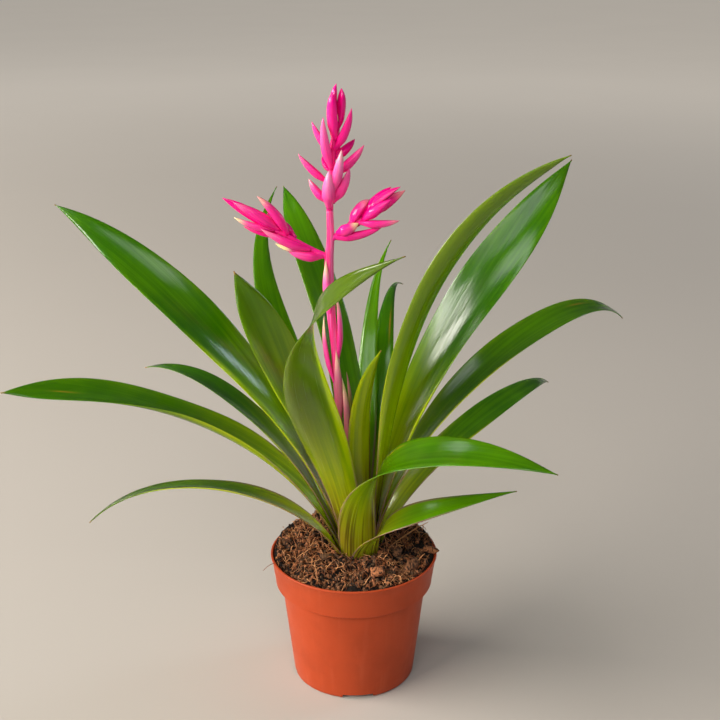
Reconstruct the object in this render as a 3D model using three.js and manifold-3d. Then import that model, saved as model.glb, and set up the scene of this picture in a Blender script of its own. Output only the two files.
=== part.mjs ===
// Potted bromeliad: a rosette of strap leaves round a branched pink flower head, in a 12 cm plastic pot.
// Millimetres, +Z up. The origin is the centre of the pot's underside, and the plant's front faces -Y.
import * as THREE from "three";
import { mergeVertices } from "three/addons/utils/BufferGeometryUtils.js";
import Module from "manifold-3d";

const wasm = await Module();
wasm.setup();

// ---- driving dimensions ----------------------------------------------------------------------

const FIT_GAP = 0.4; // free space left between two pieces that touch
const ROUND_SIDES = 48; // sides of the pot and the soil

const POT = {
  height: 96,
  rimRadius: 60, // a 12 cm pot
  footRadius: 44.2,
  wall: 1.3,
  floor: 1.6,
  collarHeight: 22, // the wider band below the rim
  collarStep: 4.4, // how far the collar stands out from the wall below it
  collarRadius: 56.6, // outer radius at the collar's lower edge
  footFillet: 1.6,
  lip: 1.2, // height of the thin bead along the rim
  lipOut: 0.5,
};

// Raised channels under the pot let water run out of its holes and through notches at its foot.
const DRAIN = {
  count: 4,
  width: 22,
  height: 3,
  innerRadius: 15,
  holeRadius: 4.5,
  holeAt: 31,
  holeSides: 16,
  turn: 4, // degrees that the first channel stands off the +X axis
};

const SOIL = {
  bottom: DRAIN.height + POT.wall + FIT_GAP,
  edgeBelowRim: 1.6,
  edgeBevel: 2.4, // the soil is rounded off where it meets the rim
  mound: 5.5, // rise of the soil from the rim to the crown
  moundSpread: 1.7, // the rise is complete at this share of the way in, counted from the rim
  relief: 1.3, // height of its lumps
  lean: 1.2, // it stands higher at the back than at the front
  backRise: 5, // the heaped mix behind the crown, above the rim
  backFrom: -0.35, // the heap begins at this sine of the angle from the right, and is full a sine of 0.9 on
  backSpread: 0.9,
  backRadius: 40,
  holeTopRadius: 22,
  holeFootRadius: 17.2,
  rings: [56.5, 50, 43, 36, 29],
  seed: 7,
};
const CHIPS = {
  count: 14,
  size: [9, 5, 2.6],
  scale: [0.55, 1.15],
  innerRadius: 30,
  outerRadius: 50,
  proud: 0.6, // how far a chip's centre lies above the soil
  tilt: 0.5,
};

const CROWN = { x: 4, y: 0, footHeight: 94 }; // the leaves spring from here, set in a hole in the soil

const LEAF = {
  thickness: 0.7,
  across: 8,
  along: 13,
  smallAcross: 6,
  smallAlong: 12,
  smallLength: 220,
  channel: 32, // radius of the hollow across a free blade
  sheathShare: 0.3, // the share of a leaf that wraps the crown
  fullWidthAt: 0.45, // where a leaf reaches its full width
  tipHalfWidth: 0.6,
  taperPower: 1.15,
};

const COLOURS = {
  pot: "#c2512f",
  soil: "#6b4128",
  leaf: "#3a7f17",
  stalk: "#e0567f",
  bract: "#ee1f86",
};

const ROUGHNESS = { pot: 0.5, soil: 0.95, leaf: 0.35, flower: 0.45 };

// Every leaf is named by where it grows. Angles are in degrees at four even steps from foot to tip:
// turn is the way the leaf points (0 to the right, 90 to the back, 180 to the left, 270 to the front),
// rise is its slope above the level, and roll is its twist about its own length.
// shell is the radius of the sheath about the crown, size is the length and the full width, and outline
// is the foot's share of that width and how late the blade narrows to its point.
const LEAVES = [
  {
    name: "leaf_back_broad",
    shell: 6,
    channel: 60,
    size: [300, 30],
    outline: [0.25, 6],
    turn: [103, 128, 128, 101],
    rise: [87, 83, 57, 13],
    roll: [0, 20, 29, -44],
  },
  {
    name: "leaf_front_inner",
    shell: 6,
    channel: 40,
    size: [167, 19],
    outline: [0.37, 4.6],
    turn: [284, 298, 307, 311],
    rise: [89, 103, 87, 53],
    roll: [0, 7, -2, -28],
  },
  {
    name: "leaf_back_narrow",
    shell: 7.2,
    size: [240, 18],
    outline: [0.4, 2.7],
    turn: [74, 91, 91, 63],
    rise: [85, 72, 61, 30],
    roll: [0, -5, -2, 4],
  },
  {
    name: "leaf_left_upright",
    shell: 7.2,
    size: [227, 44],
    outline: [0.27, 6.6],
    turn: [207, 184, 176, 173],
    rise: [79, 62, 76, 63],
    roll: [0, -16, -16, -71],
  },
  {
    name: "leaf_right_high",
    shell: 8.4,
    channel: 24,
    size: [332, 35],
    outline: [0.4, 5],
    turn: [6, -6, -9, -14],
    rise: [82, 86, 71, 26],
    roll: [0, -29, -16, -58],
  },
  {
    name: "leaf_back_slender",
    shell: 8.4,
    size: [311, 34],
    outline: [0.37, 2.1],
    turn: [148, 141, 112, 67],
    rise: [82, 55, 36, 32],
    roll: [0, 2, 5, 15],
  },
  {
    name: "leaf_back_hooked",
    shell: 9.6,
    size: [256, 30],
    outline: [0.47, 1.6],
    turn: [55, 82, 95, 71],
    rise: [82, 82, 41, -24],
    roll: [0, -13, -12, 1],
  },
  {
    name: "leaf_left_broad",
    shell: 9.6,
    size: [336, 42],
    outline: [0.3, 4.6],
    turn: [194, 182, 165, 149],
    rise: [77, 51, 54, 17],
    roll: [0, 12, -42, -54],
  },
  {
    name: "leaf_right_broad",
    shell: 10.8,
    size: [319, 50],
    outline: [0.45, 5.1],
    turn: [7, 10, 21, 38],
    rise: [82, 66, 55, 43],
    roll: [0, -6, 12, 59],
  },
  {
    name: "leaf_front_twisted",
    shell: 11.1,
    size: [343, 33],
    outline: [0.57, 3.6],
    turn: [250, 228, 266, 343],
    rise: [79, 47, 64, 23],
    roll: [0, 22, 44, 80],
  },
  {
    name: "leaf_left_narrow",
    shell: 12,
    size: [220, 32],
    outline: [0.45, 4.4],
    turn: [184, 175, 158, 147],
    rise: [74, 53, 51, -22],
    roll: [0, 22, 0, 2],
  },
  {
    name: "leaf_right_arched",
    shell: 12,
    size: [326, 35],
    outline: [0.56, 3.8],
    turn: [-3, 18, 41, 50],
    rise: [85, 45, 29, -38],
    roll: [0, -16, 4, 40],
  },
  {
    name: "leaf_left_long",
    shell: 13.1,
    size: [282, 45],
    outline: [0.5, 5.3],
    turn: [181, 178, 185, 193],
    rise: [75, 24, 23, -2],
    roll: [0, -5, 43, -53],
  },
  {
    name: "leaf_right_low",
    shell: 13.2,
    size: [234, 28],
    outline: [0.61, 3.4],
    turn: [26, 24, 46, 65],
    rise: [73, 20, 26, -28],
    roll: [0, -11, 11, 36],
  },
  {
    name: "leaf_rear_left",
    shell: 14.4,
    size: [152, 36],
    outline: [0.56, 3.2],
    turn: [139, 131, 124, 118],
    rise: [76, 42, 14, -11],
    roll: [0, -1, 0, 0],
  },
  {
    name: "leaf_front_arched",
    shell: 14.6,
    size: [235, 33],
    outline: [0.88, 4.1],
    turn: [-96, -59, -32, -8],
    rise: [79, 65, 10, -18],
    roll: [0, 38, 21, 39],
  },
  {
    name: "leaf_left_low",
    shell: 15.6,
    size: [209, 32],
    outline: [0.64, 3],
    turn: [199, 180, 173, 177],
    rise: [68, 12, 5, -48],
    roll: [0, -3, 39, -13],
  },
  {
    name: "leaf_front_low",
    shell: 15.6,
    size: [142, 28],
    outline: [0.82, 2],
    turn: [-72, -28, 4, 22],
    rise: [79, 27, 17, -2],
    roll: [0, 29, 27, 17],
  },
  {
    name: "leaf_rear_right",
    shell: 15.6,
    size: [162, 33],
    outline: [0.64, 3.2],
    turn: [69, 76, 80, 83],
    rise: [76, 37, 7, -21],
    roll: [0, 3, 2, 0],
  },
];

// ---- flower --------------------------------------------------------------------------------

// Points of the stalk's centre line and its radius there.
const STALK = {
  path: [
    [4, 0, 94.4],
    [3, 0, 120],
    [-2.5, 0, 152],
    [-9.5, 0, 190],
    [-11, 0, 217],
    [-12.5, 0, 249],
    [-15.2, 0, 280],
    [-16.1, 0, 310],
    [-15, 0, 327],
    [-15.3, 0, 346],
  ],
  radii: [4.4, 3.6, 3.0, 2.6, 2.4, 2.8, 3.1, 3.1, 2.5, 2.3],
  sides: 8,
  steps: 18,
};

// Thin bracts that wrap the stalk: height of the root, length, side they stand on, and how far the tip
// stands off the stalk's centre line.
const WRAP = { width: 7, rootOut: 0.8, depthShare: 0.36 };
const WRAPS = [
  { at: 165, length: 54, side: 195, flare: 5.5 },
  { at: 168, length: 62, side: 318, flare: 5 },
  { at: 172, length: 62, side: 350, flare: 7 },
  { at: 195, length: 55, side: 285, flare: 3.2 },
  { at: 224, length: 50, side: 185, flare: 5 },
  { at: 240, length: 50, side: 350, flare: 3.8 },
  { at: 272, length: 41, side: 235, flare: 3.4 },
];

// Each spray has its own stem and its bracts. Points are relative to the spray's root, and a bract is
// given by its root on the stem, its tip, its width, and, where it is blunt, how late it narrows.
const SPRAYS = [
  {
    name: "flower_spray_top",
    root: [-15.3, 0, 346.4],
    stem: [
      [0, 0, 0],
      [1.5, 0, 25],
      [3, 0, 42],
      [4.5, 0, 60],
    ],
    stemRadii: [2.3, 1.9, 1.5, 1],
    bracts: [
      { root: [-0.5, -1, 2], tip: [0, -7, 27], width: 10 },
      { root: [2, -2, 12], tip: [8, -8, 40.5], width: 8 },
      { root: [1.5, 0, 5], tip: [13, -2, 28], width: 9.5 },
      { root: [-1, 0, 5], tip: [-13.5, 2, 20], width: 8 },
      { root: [0, 1, 7], tip: [3, 13, 31], width: 8.5 },
      { root: [-0.5, 0, 18], tip: [-20, -2, 37], width: 7.5 },
      { root: [2.5, 0, 23], tip: [22.5, 2, 42], width: 9 },
      { root: [1, 1, 25], tip: [-4, 12, 33.5], width: 7, point: 6 },
      { root: [1.5, -1, 27], tip: [-3.5, -7, 61], width: 8 },
      { root: [2.5, 1, 32], tip: [5, 13, 53], width: 7.5 },
      { root: [3, 1, 34], tip: [16.5, 7, 45], width: 8 },
      { root: [2, 0, 37], tip: [-11, 1, 57], width: 7 },
      { root: [3, 0, 39], tip: [14.5, -2, 66], width: 8.5 },
      { root: [3, 1, 44], tip: [4.5, 9, 65], width: 7 },
      { root: [4.2, -1.5, 46], tip: [2.4, -6, 76.5], width: 8, point: 6 },
      { root: [4, 0.5, 50], tip: [8, 1.5, 78], width: 7.5, point: 7 },
      { root: [4, 0, 55], tip: [4.8, 0.5, 81], width: 6.5, point: 6 },
    ],
  },
  {
    name: "flower_spray_left",
    root: [-18.4, 0, 315],
    stem: [
      [2.6, 0, -1],
      [-10, 0, 5],
      [-24, 0, 13],
      [-34, -1, 19],
      [-42, -1, 25],
    ],
    stemRadii: [2.2, 2, 1.7, 1.4, 1],
    bracts: [
      { root: [-1.5, 0, 0.5], tip: [-25, -2, 4.5], width: 10 },
      { root: [-15, -1.5, 5], tip: [-33, -3, 9.5], width: 6 },
      { root: [-10, -1.5, 5], tip: [-42, -6, 20], width: 7.5 },
      { root: [-20, 1.5, 12], tip: [-39, 10, 27], width: 8 },
      { root: [-26, 2, 14.5], tip: [-54, 3, 19.5], width: 7 },
      { root: [-25, 0, 14.5], tip: [-44, -3, 41], width: 9 },
      { root: [-33, -1, 18.5], tip: [-59.5, -3, 27], width: 7 },
      { root: [-30, 0, 17.5], tip: [-59.5, -4, 37], width: 9 },
      { root: [-34, 0.5, 20], tip: [-67, 1, 39], width: 8.5 },
    ],
  },
  {
    name: "flower_spray_right",
    root: [-12.4, 0, 328.4],
    stem: [
      [-2.6, 0, -2],
      [6, 0, 3.5],
      [14, 0, 9],
      [24, 0, 15.5],
      [31, 0, 21],
    ],
    stemRadii: [2.2, 2, 1.7, 1.4, 1],
    bracts: [
      { root: [-1.5, 0, -0.5], tip: [32, -1, 7], width: 8.5 },
      { root: [2, -1, 2.5], tip: [16, -4, 10], width: 9.5 },
      { root: [8, 1.5, 5.5], tip: [26, 10, 16], width: 8 },
      { root: [11, 0, 7.5], tip: [23, 1, 24.5], width: 9.5, point: 6 },
      { root: [16, -1, 10], tip: [43, -3, 11.5], width: 8 },
      { root: [19, -1, 11.5], tip: [37.5, -5, 26], width: 8 },
      { root: [19, 0, 13], tip: [37.5, 3, 32.5], width: 8.5 },
      { root: [20, 0.5, 13.5], tip: [43.5, 1, 33], width: 9 },
      { root: [24, 1, 15], tip: [46.5, 4, 30], width: 8.5 },
    ],
  },
];

const SPRAY_STEM = { sides: 6, steps: 6 };
const BRACT = {
  rings: 5,
  rootShare: 0.45, // width at the root as a share of the full width
  depthShare: 0.48, // depth of the keel as a share of the width
  bow: 0.09, // how far it arches outward, as a share of its length
  fullWidthAt: 0.35,
  point: 3.4,
  tipHalfWidth: 0.15,
  // The section, as shares of the half width and of the keel's depth.
  section: [
    [0, 1],
    [-0.62, 0.6],
    [-1, -0.1],
    [0, -0.5],
    [1, -0.1],
    [0.62, 0.6],
  ],
};

// ---- small helpers -------------------------------------------------------------------------

const radians = THREE.MathUtils.degToRad;

function seededRandom(seed) {
  let state = seed;
  return () => {
    state = (state * 1664525 + 1013904223) % 4294967296;
    return state / 4294967296;
  };
}

function smooth(x) {
  const t = THREE.MathUtils.clamp(x, 0, 1);
  return t * t * (3 - 2 * t);
}

// Four values spread evenly along a piece, blended as a cubic curve.
function blend([a, b, c, d], t) {
  const u = 1 - t;
  return a * u ** 3 + 3 * b * t * u * u + 3 * c * t * t * u + d * t ** 3;
}

function vector([x, y, z]) {
  return new THREE.Vector3(x, y, z);
}

function curveThrough(path) {
  return new THREE.CatmullRomCurve3(path.map(vector));
}

function closedGeometry(points, triangles) {
  const geometry = new THREE.BufferGeometry();
  geometry.setAttribute("position", new THREE.Float32BufferAttribute(points.flatMap((p) => p.toArray()), 3));
  geometry.setIndex(triangles.flat());
  return geometry;
}

function toSolid(geometry) {
  const bare = geometry.clone();
  bare.deleteAttribute("normal");
  bare.deleteAttribute("uv");
  const merged = mergeVertices(bare, 1e-4);
  const vertProperties = Float32Array.from(merged.attributes.position.array);
  const triVerts = Uint32Array.from(merged.index.array);
  return new wasm.Manifold(new wasm.Mesh({ numProp: 3, vertProperties, triVerts }));
}

function toGeometry(solid) {
  const mesh = solid.getMesh();
  const geometry = new THREE.BufferGeometry();
  geometry.setAttribute("position", new THREE.BufferAttribute(Float32Array.from(mesh.vertProperties), 3));
  geometry.setIndex(new THREE.BufferAttribute(Uint32Array.from(mesh.triVerts), 1));
  return geometry;
}

function makeMesh(name, geometry, colour, roughness) {
  const material = new THREE.MeshStandardMaterial({ color: colour, roughness, metalness: 0 });
  geometry.computeVertexNormals();
  const mesh = new THREE.Mesh(geometry, material);
  mesh.name = name;
  return mesh;
}

// A closed profile of [radius, height] points turned about the Z axis.
function turned(profile) {
  const points = profile.map(([radius, height]) => new THREE.Vector2(radius, height));
  const geometry = new THREE.LatheGeometry(points, ROUND_SIDES);
  geometry.rotateX(Math.PI / 2);
  return geometry;
}

function box(width, depth, height) {
  return new THREE.BoxGeometry(width, depth, height);
}

// ---- pot and soil --------------------------------------------------------------------------

const collarFoot = POT.height - POT.collarHeight;
const stepRadius = POT.collarRadius - POT.collarStep;

function potOutline() {
  return [
    [0, 0],
    [POT.footRadius - POT.footFillet, 0],
    [POT.footRadius, POT.footFillet],
    [stepRadius, collarFoot - POT.lip],
    [POT.collarRadius, collarFoot],
    [POT.rimRadius - POT.lipOut, POT.height - POT.lip],
    [POT.rimRadius, POT.height - POT.lip],
    [POT.rimRadius, POT.height],
  ];
}

// The inner wall follows the outer one, with the same step.
function potInside() {
  return [
    [POT.rimRadius - POT.wall - POT.lipOut, POT.height],
    [POT.collarRadius - POT.wall, collarFoot + POT.wall],
    [stepRadius - POT.wall, collarFoot + POT.wall - POT.lip],
    [POT.footRadius - POT.wall, POT.floor],
    [0, POT.floor],
  ];
}

function potWithDrains() {
  const shell = toSolid(turned([...potOutline(), ...potInside()]));
  const envelope = toSolid(turned([...potOutline(), [0, POT.height]]));
  const reach = POT.footRadius + POT.wall - DRAIN.innerRadius;
  const middle = DRAIN.innerRadius + reach / 2;
  let pot = shell;
  const cuts = [];
  for (let i = 0; i < DRAIN.count; i += 1) {
    const angle = radians(DRAIN.turn) + (i * 2 * Math.PI) / DRAIN.count;
    const coverHeight = DRAIN.height + POT.wall;
    const cover = box(reach + 2 * POT.wall, DRAIN.width + 2 * POT.wall, coverHeight);
    cover.translate(middle, 0, coverHeight / 2);
    cover.rotateZ(angle);
    pot = pot.add(toSolid(cover).intersect(envelope));
    const channel = box(reach, DRAIN.width, 2 * DRAIN.height);
    channel.translate(middle, 0, 0);
    channel.rotateZ(angle);
    cuts.push(toSolid(channel));
    const holeLength = 4 * DRAIN.height;
    const hole = new THREE.CylinderGeometry(DRAIN.holeRadius, DRAIN.holeRadius, holeLength, DRAIN.holeSides);
    hole.rotateX(Math.PI / 2);
    hole.translate(DRAIN.holeAt, 0, 0);
    hole.rotateZ(angle);
    cuts.push(toSolid(hole));
  }
  return toGeometry(cuts.reduce((solid, cut) => solid.subtract(cut), pot));
}

function soilHeight(radius, angle, lump) {
  const inward = 1 - radius / POT.rimRadius;
  const backward = (radius / POT.rimRadius) * Math.sin(angle) * SOIL.lean;
  const toBack = smooth((Math.sin(angle) - SOIL.backFrom) / SOIL.backSpread);
  const behind = toBack * smooth(radius / SOIL.backRadius);
  const mound = SOIL.mound * smooth(inward * SOIL.moundSpread);
  return POT.height - SOIL.edgeBelowRim + mound + backward + SOIL.backRise * behind + lump;
}

// The soil's side follows the pot's inner wall, and its top is a ring grid with seeded lumps.
function soilSolid() {
  const random = seededRandom(SOIL.seed);
  const holeFoot = CROWN.footHeight - FIT_GAP;
  const side = potInside().slice(0, 4).reverse();
  const [foot, stepLow, stepHigh, rim] = side;
  const slope = (stepLow[0] - foot[0]) / (stepLow[1] - foot[1]);
  const bottomRadius = foot[0] + slope * (SOIL.bottom - foot[1]) - FIT_GAP;
  const rings = [
    () => [bottomRadius, SOIL.bottom],
    () => [stepLow[0] - FIT_GAP, stepLow[1]],
    () => [stepHigh[0] - FIT_GAP, stepHigh[1] + FIT_GAP],
    () => [rim[0] - 2 * FIT_GAP, POT.height - SOIL.edgeBelowRim - SOIL.edgeBevel],
    ...SOIL.rings.map((radius) => (angle) => [
      radius,
      soilHeight(radius, angle, (random() - 0.5) * 2 * SOIL.relief),
    ]),
    (angle) => [SOIL.holeTopRadius, soilHeight(SOIL.holeTopRadius, angle, 0)],
    () => [SOIL.holeFootRadius, holeFoot],
  ];
  const points = [];
  for (const [index, ring] of rings.entries()) {
    const aboutCrown = index >= rings.length - 2;
    for (let i = 0; i < ROUND_SIDES; i += 1) {
      const angle = (i * 2 * Math.PI) / ROUND_SIDES;
      const [radius, height] = ring(angle);
      const x = radius * Math.cos(angle) + (aboutCrown ? CROWN.x : 0);
      const y = radius * Math.sin(angle) + (aboutCrown ? CROWN.y : 0);
      points.push(new THREE.Vector3(x, y, height));
    }
  }
  const triangles = [];
  for (let row = 0; row < rings.length - 1; row += 1) {
    for (let i = 0; i < ROUND_SIDES; i += 1) {
      const next = (i + 1) % ROUND_SIDES;
      const a = row * ROUND_SIDES + i;
      const b = row * ROUND_SIDES + next;
      triangles.push([a, b, b + ROUND_SIDES], [a, b + ROUND_SIDES, a + ROUND_SIDES]);
    }
  }
  const lowCentre = points.push(new THREE.Vector3(0, 0, SOIL.bottom)) - 1;
  const holeCentre = points.push(new THREE.Vector3(CROWN.x, CROWN.y, holeFoot)) - 1;
  const lastRow = (rings.length - 1) * ROUND_SIDES;
  for (let i = 0; i < ROUND_SIDES; i += 1) {
    const next = (i + 1) % ROUND_SIDES;
    triangles.push([lowCentre, next, i], [holeCentre, lastRow + i, lastRow + next]);
  }
  let solid = toSolid(closedGeometry(points, triangles));
  for (let i = 0; i < CHIPS.count; i += 1) {
    solid = solid.add(toSolid(barkChip(random)));
  }
  return toGeometry(solid);
}

function barkChip(random) {
  const [length, width, height] = CHIPS.size;
  const scale = THREE.MathUtils.lerp(...CHIPS.scale, random());
  const chip = box(length * scale, width * scale, height);
  const angle = random() * 2 * Math.PI;
  const radius = THREE.MathUtils.lerp(CHIPS.innerRadius, CHIPS.outerRadius, random());
  chip.rotateX((random() - 0.5) * CHIPS.tilt);
  chip.rotateY((random() - 0.5) * CHIPS.tilt);
  chip.rotateZ(random() * Math.PI);
  const centreHeight = soilHeight(radius, angle, 0) + CHIPS.proud;
  chip.translate(radius * Math.cos(angle), radius * Math.sin(angle), centreHeight);
  return chip;
}

// ---- leaves --------------------------------------------------------------------------------

function leafHalfWidth(leaf, s) {
  const width = leaf.size[1];
  const [footShare, point] = leaf.outline;
  const swell = footShare + (1 - footShare) * smooth(s / LEAF.fullWidthAt);
  const taper = Math.max(1 - s ** point, 0) ** LEAF.taperPower;
  return Math.max((width / 2) * swell * taper, LEAF.tipHalfWidth);
}

// The direction of the midrib at share s of the leaf, with its level side vector and upper normal.
function leafFrame(leaf, s) {
  const turn = radians(blend(leaf.turn, s));
  const rise = radians(blend(leaf.rise, s));
  const roll = radians(blend(leaf.roll, s));
  const along = new THREE.Vector3(
    Math.cos(rise) * Math.cos(turn),
    Math.cos(rise) * Math.sin(turn),
    Math.sin(rise),
  );
  const level = new THREE.Vector3(-Math.sin(turn), Math.cos(turn), 0);
  const upper = along.clone().cross(level);
  const side = level.clone().multiplyScalar(Math.cos(roll)).addScaledVector(upper, Math.sin(roll));
  const normal = upper.clone().multiplyScalar(Math.cos(roll)).addScaledVector(level, -Math.sin(roll));
  return { along, side, normal };
}

// Points of the midrib, found by adding up its direction in short steps.
function leafMidrib(leaf, rings) {
  const stepsPerRing = 6;
  const length = leaf.size[0];
  const outward = radians(leaf.turn[0]);
  const point = new THREE.Vector3(
    CROWN.x + leaf.shell * Math.cos(outward),
    CROWN.y + leaf.shell * Math.sin(outward),
    CROWN.footHeight,
  );
  const points = [point.clone()];
  const steps = rings * stepsPerRing;
  for (let i = 0; i < steps; i += 1) {
    point.addScaledVector(leafFrame(leaf, (i + 0.5) / steps).along, length / steps);
    if ((i + 1) % stepsPerRing === 0) {
      points.push(point.clone());
    }
  }
  return points;
}

// A leaf's section is an arc: about the crown where the sheath wraps it, then a shallow channel.
function leafGeometry(leaf) {
  const small = leaf.size[0] < LEAF.smallLength;
  const across = small ? LEAF.smallAcross : LEAF.across;
  const along = small ? LEAF.smallAlong : LEAF.along;
  const midrib = leafMidrib(leaf, along);
  const channel = leaf.channel ?? LEAF.channel;
  const footTurn = radians(leaf.turn[0]);
  const outward = new THREE.Vector3(Math.cos(footTurn), Math.sin(footTurn), 0);
  const points = [];
  for (let row = 0; row <= along; row += 1) {
    const s = row / along;
    const { side, normal } = leafFrame(leaf, s);
    const free = smooth(s / LEAF.sheathShare);
    const lean = midrib[row].clone().sub(midrib[0]).dot(outward);
    const aboutCrown = Math.max(leaf.shell + lean, leaf.shell);
    const bend = (1 - free) / aboutCrown + free / channel;
    const hollow = outward.clone().multiplyScalar(free - 1).addScaledVector(normal, free).normalize();
    const half = leafHalfWidth(leaf, s);
    for (const depth of [0, LEAF.thickness]) {
      for (let column = 0; column <= across; column += 1) {
        const angle = half * bend * ((2 * column) / across - 1);
        const radius = 1 / bend + depth;
        points.push(
          midrib[row]
            .clone()
            .addScaledVector(side, radius * Math.sin(angle))
            .addScaledVector(hollow, 1 / bend - radius * Math.cos(angle)),
        );
      }
    }
  }
  return closedGeometry(points, leafTriangles(along, across));
}

// Both faces are split along the same diagonals, so a waved blade keeps its thickness.
function leafTriangles(along, across) {
  const perFace = across + 1;
  const perRow = 2 * perFace;
  const triangles = [];
  const quad = (a, b, c, d) => triangles.push([a, b, c], [a, c, d]);
  for (let row = 0; row < along; row += 1) {
    const here = row * perRow;
    const next = here + perRow;
    for (let column = 0; column < across; column += 1) {
      quad(here + column, next + column, next + column + 1, here + column + 1);
      const low = here + perFace + column;
      const high = next + perFace + column;
      triangles.push([low, high + 1, high], [low, low + 1, high + 1]);
    }
    quad(here, here + perFace, next + perFace, next);
    quad(here + across, next + across, next + perFace + across, here + perFace + across);
  }
  const last = along * perRow;
  for (let column = 0; column < across; column += 1) {
    quad(column, column + 1, perFace + column + 1, perFace + column);
    quad(last + column, last + perFace + column, last + perFace + column + 1, last + column + 1);
  }
  return triangles;
}

// ---- flower stalk and sprays ---------------------------------------------------------------

// A closed body swept along a curve: section(t) gives its outline as [sideways, outward] points.
function sweep(curve, outward, rings, section) {
  const points = [];
  const triangles = [];
  let count = 0;
  for (const t of rings) {
    const centre = curve.getPoint(t);
    const tangent = curve.getTangent(t);
    const side = outward.clone().cross(tangent).normalize();
    const out = tangent.clone().cross(side);
    const outline = section(t);
    count = outline.length;
    for (const [sideways, away] of outline) {
      points.push(centre.clone().addScaledVector(side, sideways).addScaledVector(out, away));
    }
  }
  for (let row = 0; row < rings.length - 1; row += 1) {
    for (let i = 0; i < count; i += 1) {
      const next = (i + 1) % count;
      const a = row * count + i;
      const b = row * count + next;
      triangles.push([a, b, b + count], [a, b + count, a + count]);
    }
  }
  const start = points.push(curve.getPoint(rings[0])) - 1;
  const end = points.push(curve.getPoint(rings.at(-1))) - 1;
  const last = (rings.length - 1) * count;
  for (let i = 0; i < count; i += 1) {
    const next = (i + 1) % count;
    triangles.push([start, next, i], [end, last + i, last + next]);
  }
  return toSolid(closedGeometry(points, triangles));
}

function evenSteps(count) {
  return Array.from({ length: count + 1 }, (_, i) => i / count);
}

function roundStem(path, radii, grow, sides, steps) {
  const curve = curveThrough(path);
  const ring = Array.from({ length: sides }, (_, i) => (i * 2 * Math.PI) / sides);
  return sweep(curve, new THREE.Vector3(0, -1, 0), evenSteps(steps), (t) => {
    const place = t * (radii.length - 1);
    const low = Math.min(Math.floor(place), radii.length - 2);
    const radius = THREE.MathUtils.lerp(radii[low], radii[low + 1], place - low) + grow;
    return ring.map((angle) => [radius * Math.cos(angle), radius * Math.sin(angle)]);
  });
}

// A bract is a boat-shaped scale, keeled outside and nearly flat inside.
function bractSolid({ root, tip, width, depthShare, point }, axis) {
  const reach = tip.clone().sub(root);
  const outward = reach.clone().addScaledVector(axis, -reach.dot(axis)).normalize();
  const middle = root.clone().add(tip).multiplyScalar(0.5);
  middle.addScaledVector(outward, reach.length() * BRACT.bow);
  const curve = new THREE.QuadraticBezierCurve3(root, middle, tip);
  const keel = outward.addScaledVector(reach, -outward.dot(reach) / reach.lengthSq()).normalize();
  return sweep(curve, keel, evenSteps(BRACT.rings), (t) => {
    const swell = BRACT.rootShare + (1 - BRACT.rootShare) * smooth(t / BRACT.fullWidthAt);
    const half = Math.max((width / 2) * swell * (1 - t ** point), BRACT.tipHalfWidth);
    const deep = half * 2 * depthShare;
    return BRACT.section.map(([sideways, away]) => [sideways * half, away * deep]);
  });
}

// The point of the stalk's centre line at a given height.
function stalkPointAt(height) {
  const samples = 200;
  const points = curveThrough(STALK.path).getPoints(samples);
  return points.reduce((best, p) => (Math.abs(p.z - height) < Math.abs(best.z - height) ? p : best));
}

function stalkSolid() {
  let solid = roundStem(STALK.path, STALK.radii, 0, STALK.sides, STALK.steps);
  for (const wrap of WRAPS) {
    const out = new THREE.Vector3(Math.cos(radians(wrap.side)), Math.sin(radians(wrap.side)), 0);
    const root = stalkPointAt(wrap.at).addScaledVector(out, WRAP.rootOut);
    const tip = stalkPointAt(wrap.at + wrap.length).addScaledVector(out, wrap.flare);
    const axis = tip.clone().sub(root).addScaledVector(out, -wrap.flare).normalize();
    solid = solid.add(bractSolid({ ...BRACT, ...WRAP, root, tip }, axis));
  }
  return solid;
}

function spraySolid(spray, clearance) {
  let solid = roundStem(spray.stem, spray.stemRadii, 0, SPRAY_STEM.sides, SPRAY_STEM.steps);
  const axis = curveThrough(spray.stem).getTangent(0.5);
  for (const bract of spray.bracts) {
    const ends = { root: vector(bract.root), tip: vector(bract.tip) };
    solid = solid.add(bractSolid({ ...BRACT, ...bract, ...ends }, axis));
  }
  return solid.translate(spray.root).subtract(clearance);
}

// ---- the plant -----------------------------------------------------------------------------

const group = new THREE.Group();
group.add(makeMesh("pot", potWithDrains(), COLOURS.pot, ROUGHNESS.pot));
group.add(makeMesh("soil", soilSolid(), COLOURS.soil, ROUGHNESS.soil));

for (const leaf of LEAVES) {
  group.add(makeMesh(leaf.name, leafGeometry(leaf), COLOURS.leaf, ROUGHNESS.leaf));
}

group.add(makeMesh("flower_stalk", toGeometry(stalkSolid()), COLOURS.stalk, ROUGHNESS.flower));
const stalkClearance = roundStem(STALK.path, STALK.radii, FIT_GAP, STALK.sides, STALK.steps);
for (const spray of SPRAYS) {
  const geometry = toGeometry(spraySolid(spray, stalkClearance));
  group.add(makeMesh(spray.name, geometry, COLOURS.bract, ROUGHNESS.flower));
}

export default group;
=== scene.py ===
"""Potted bromeliad: strap leaves round a branched pink flower head, in a terracotta-coloured plastic pot.

Metres, +Z up, origin at the centre of the pot's underside, front towards -Y.
"""

import math

import bmesh
import bpy
import numpy as np
from mathutils import Matrix


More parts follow.
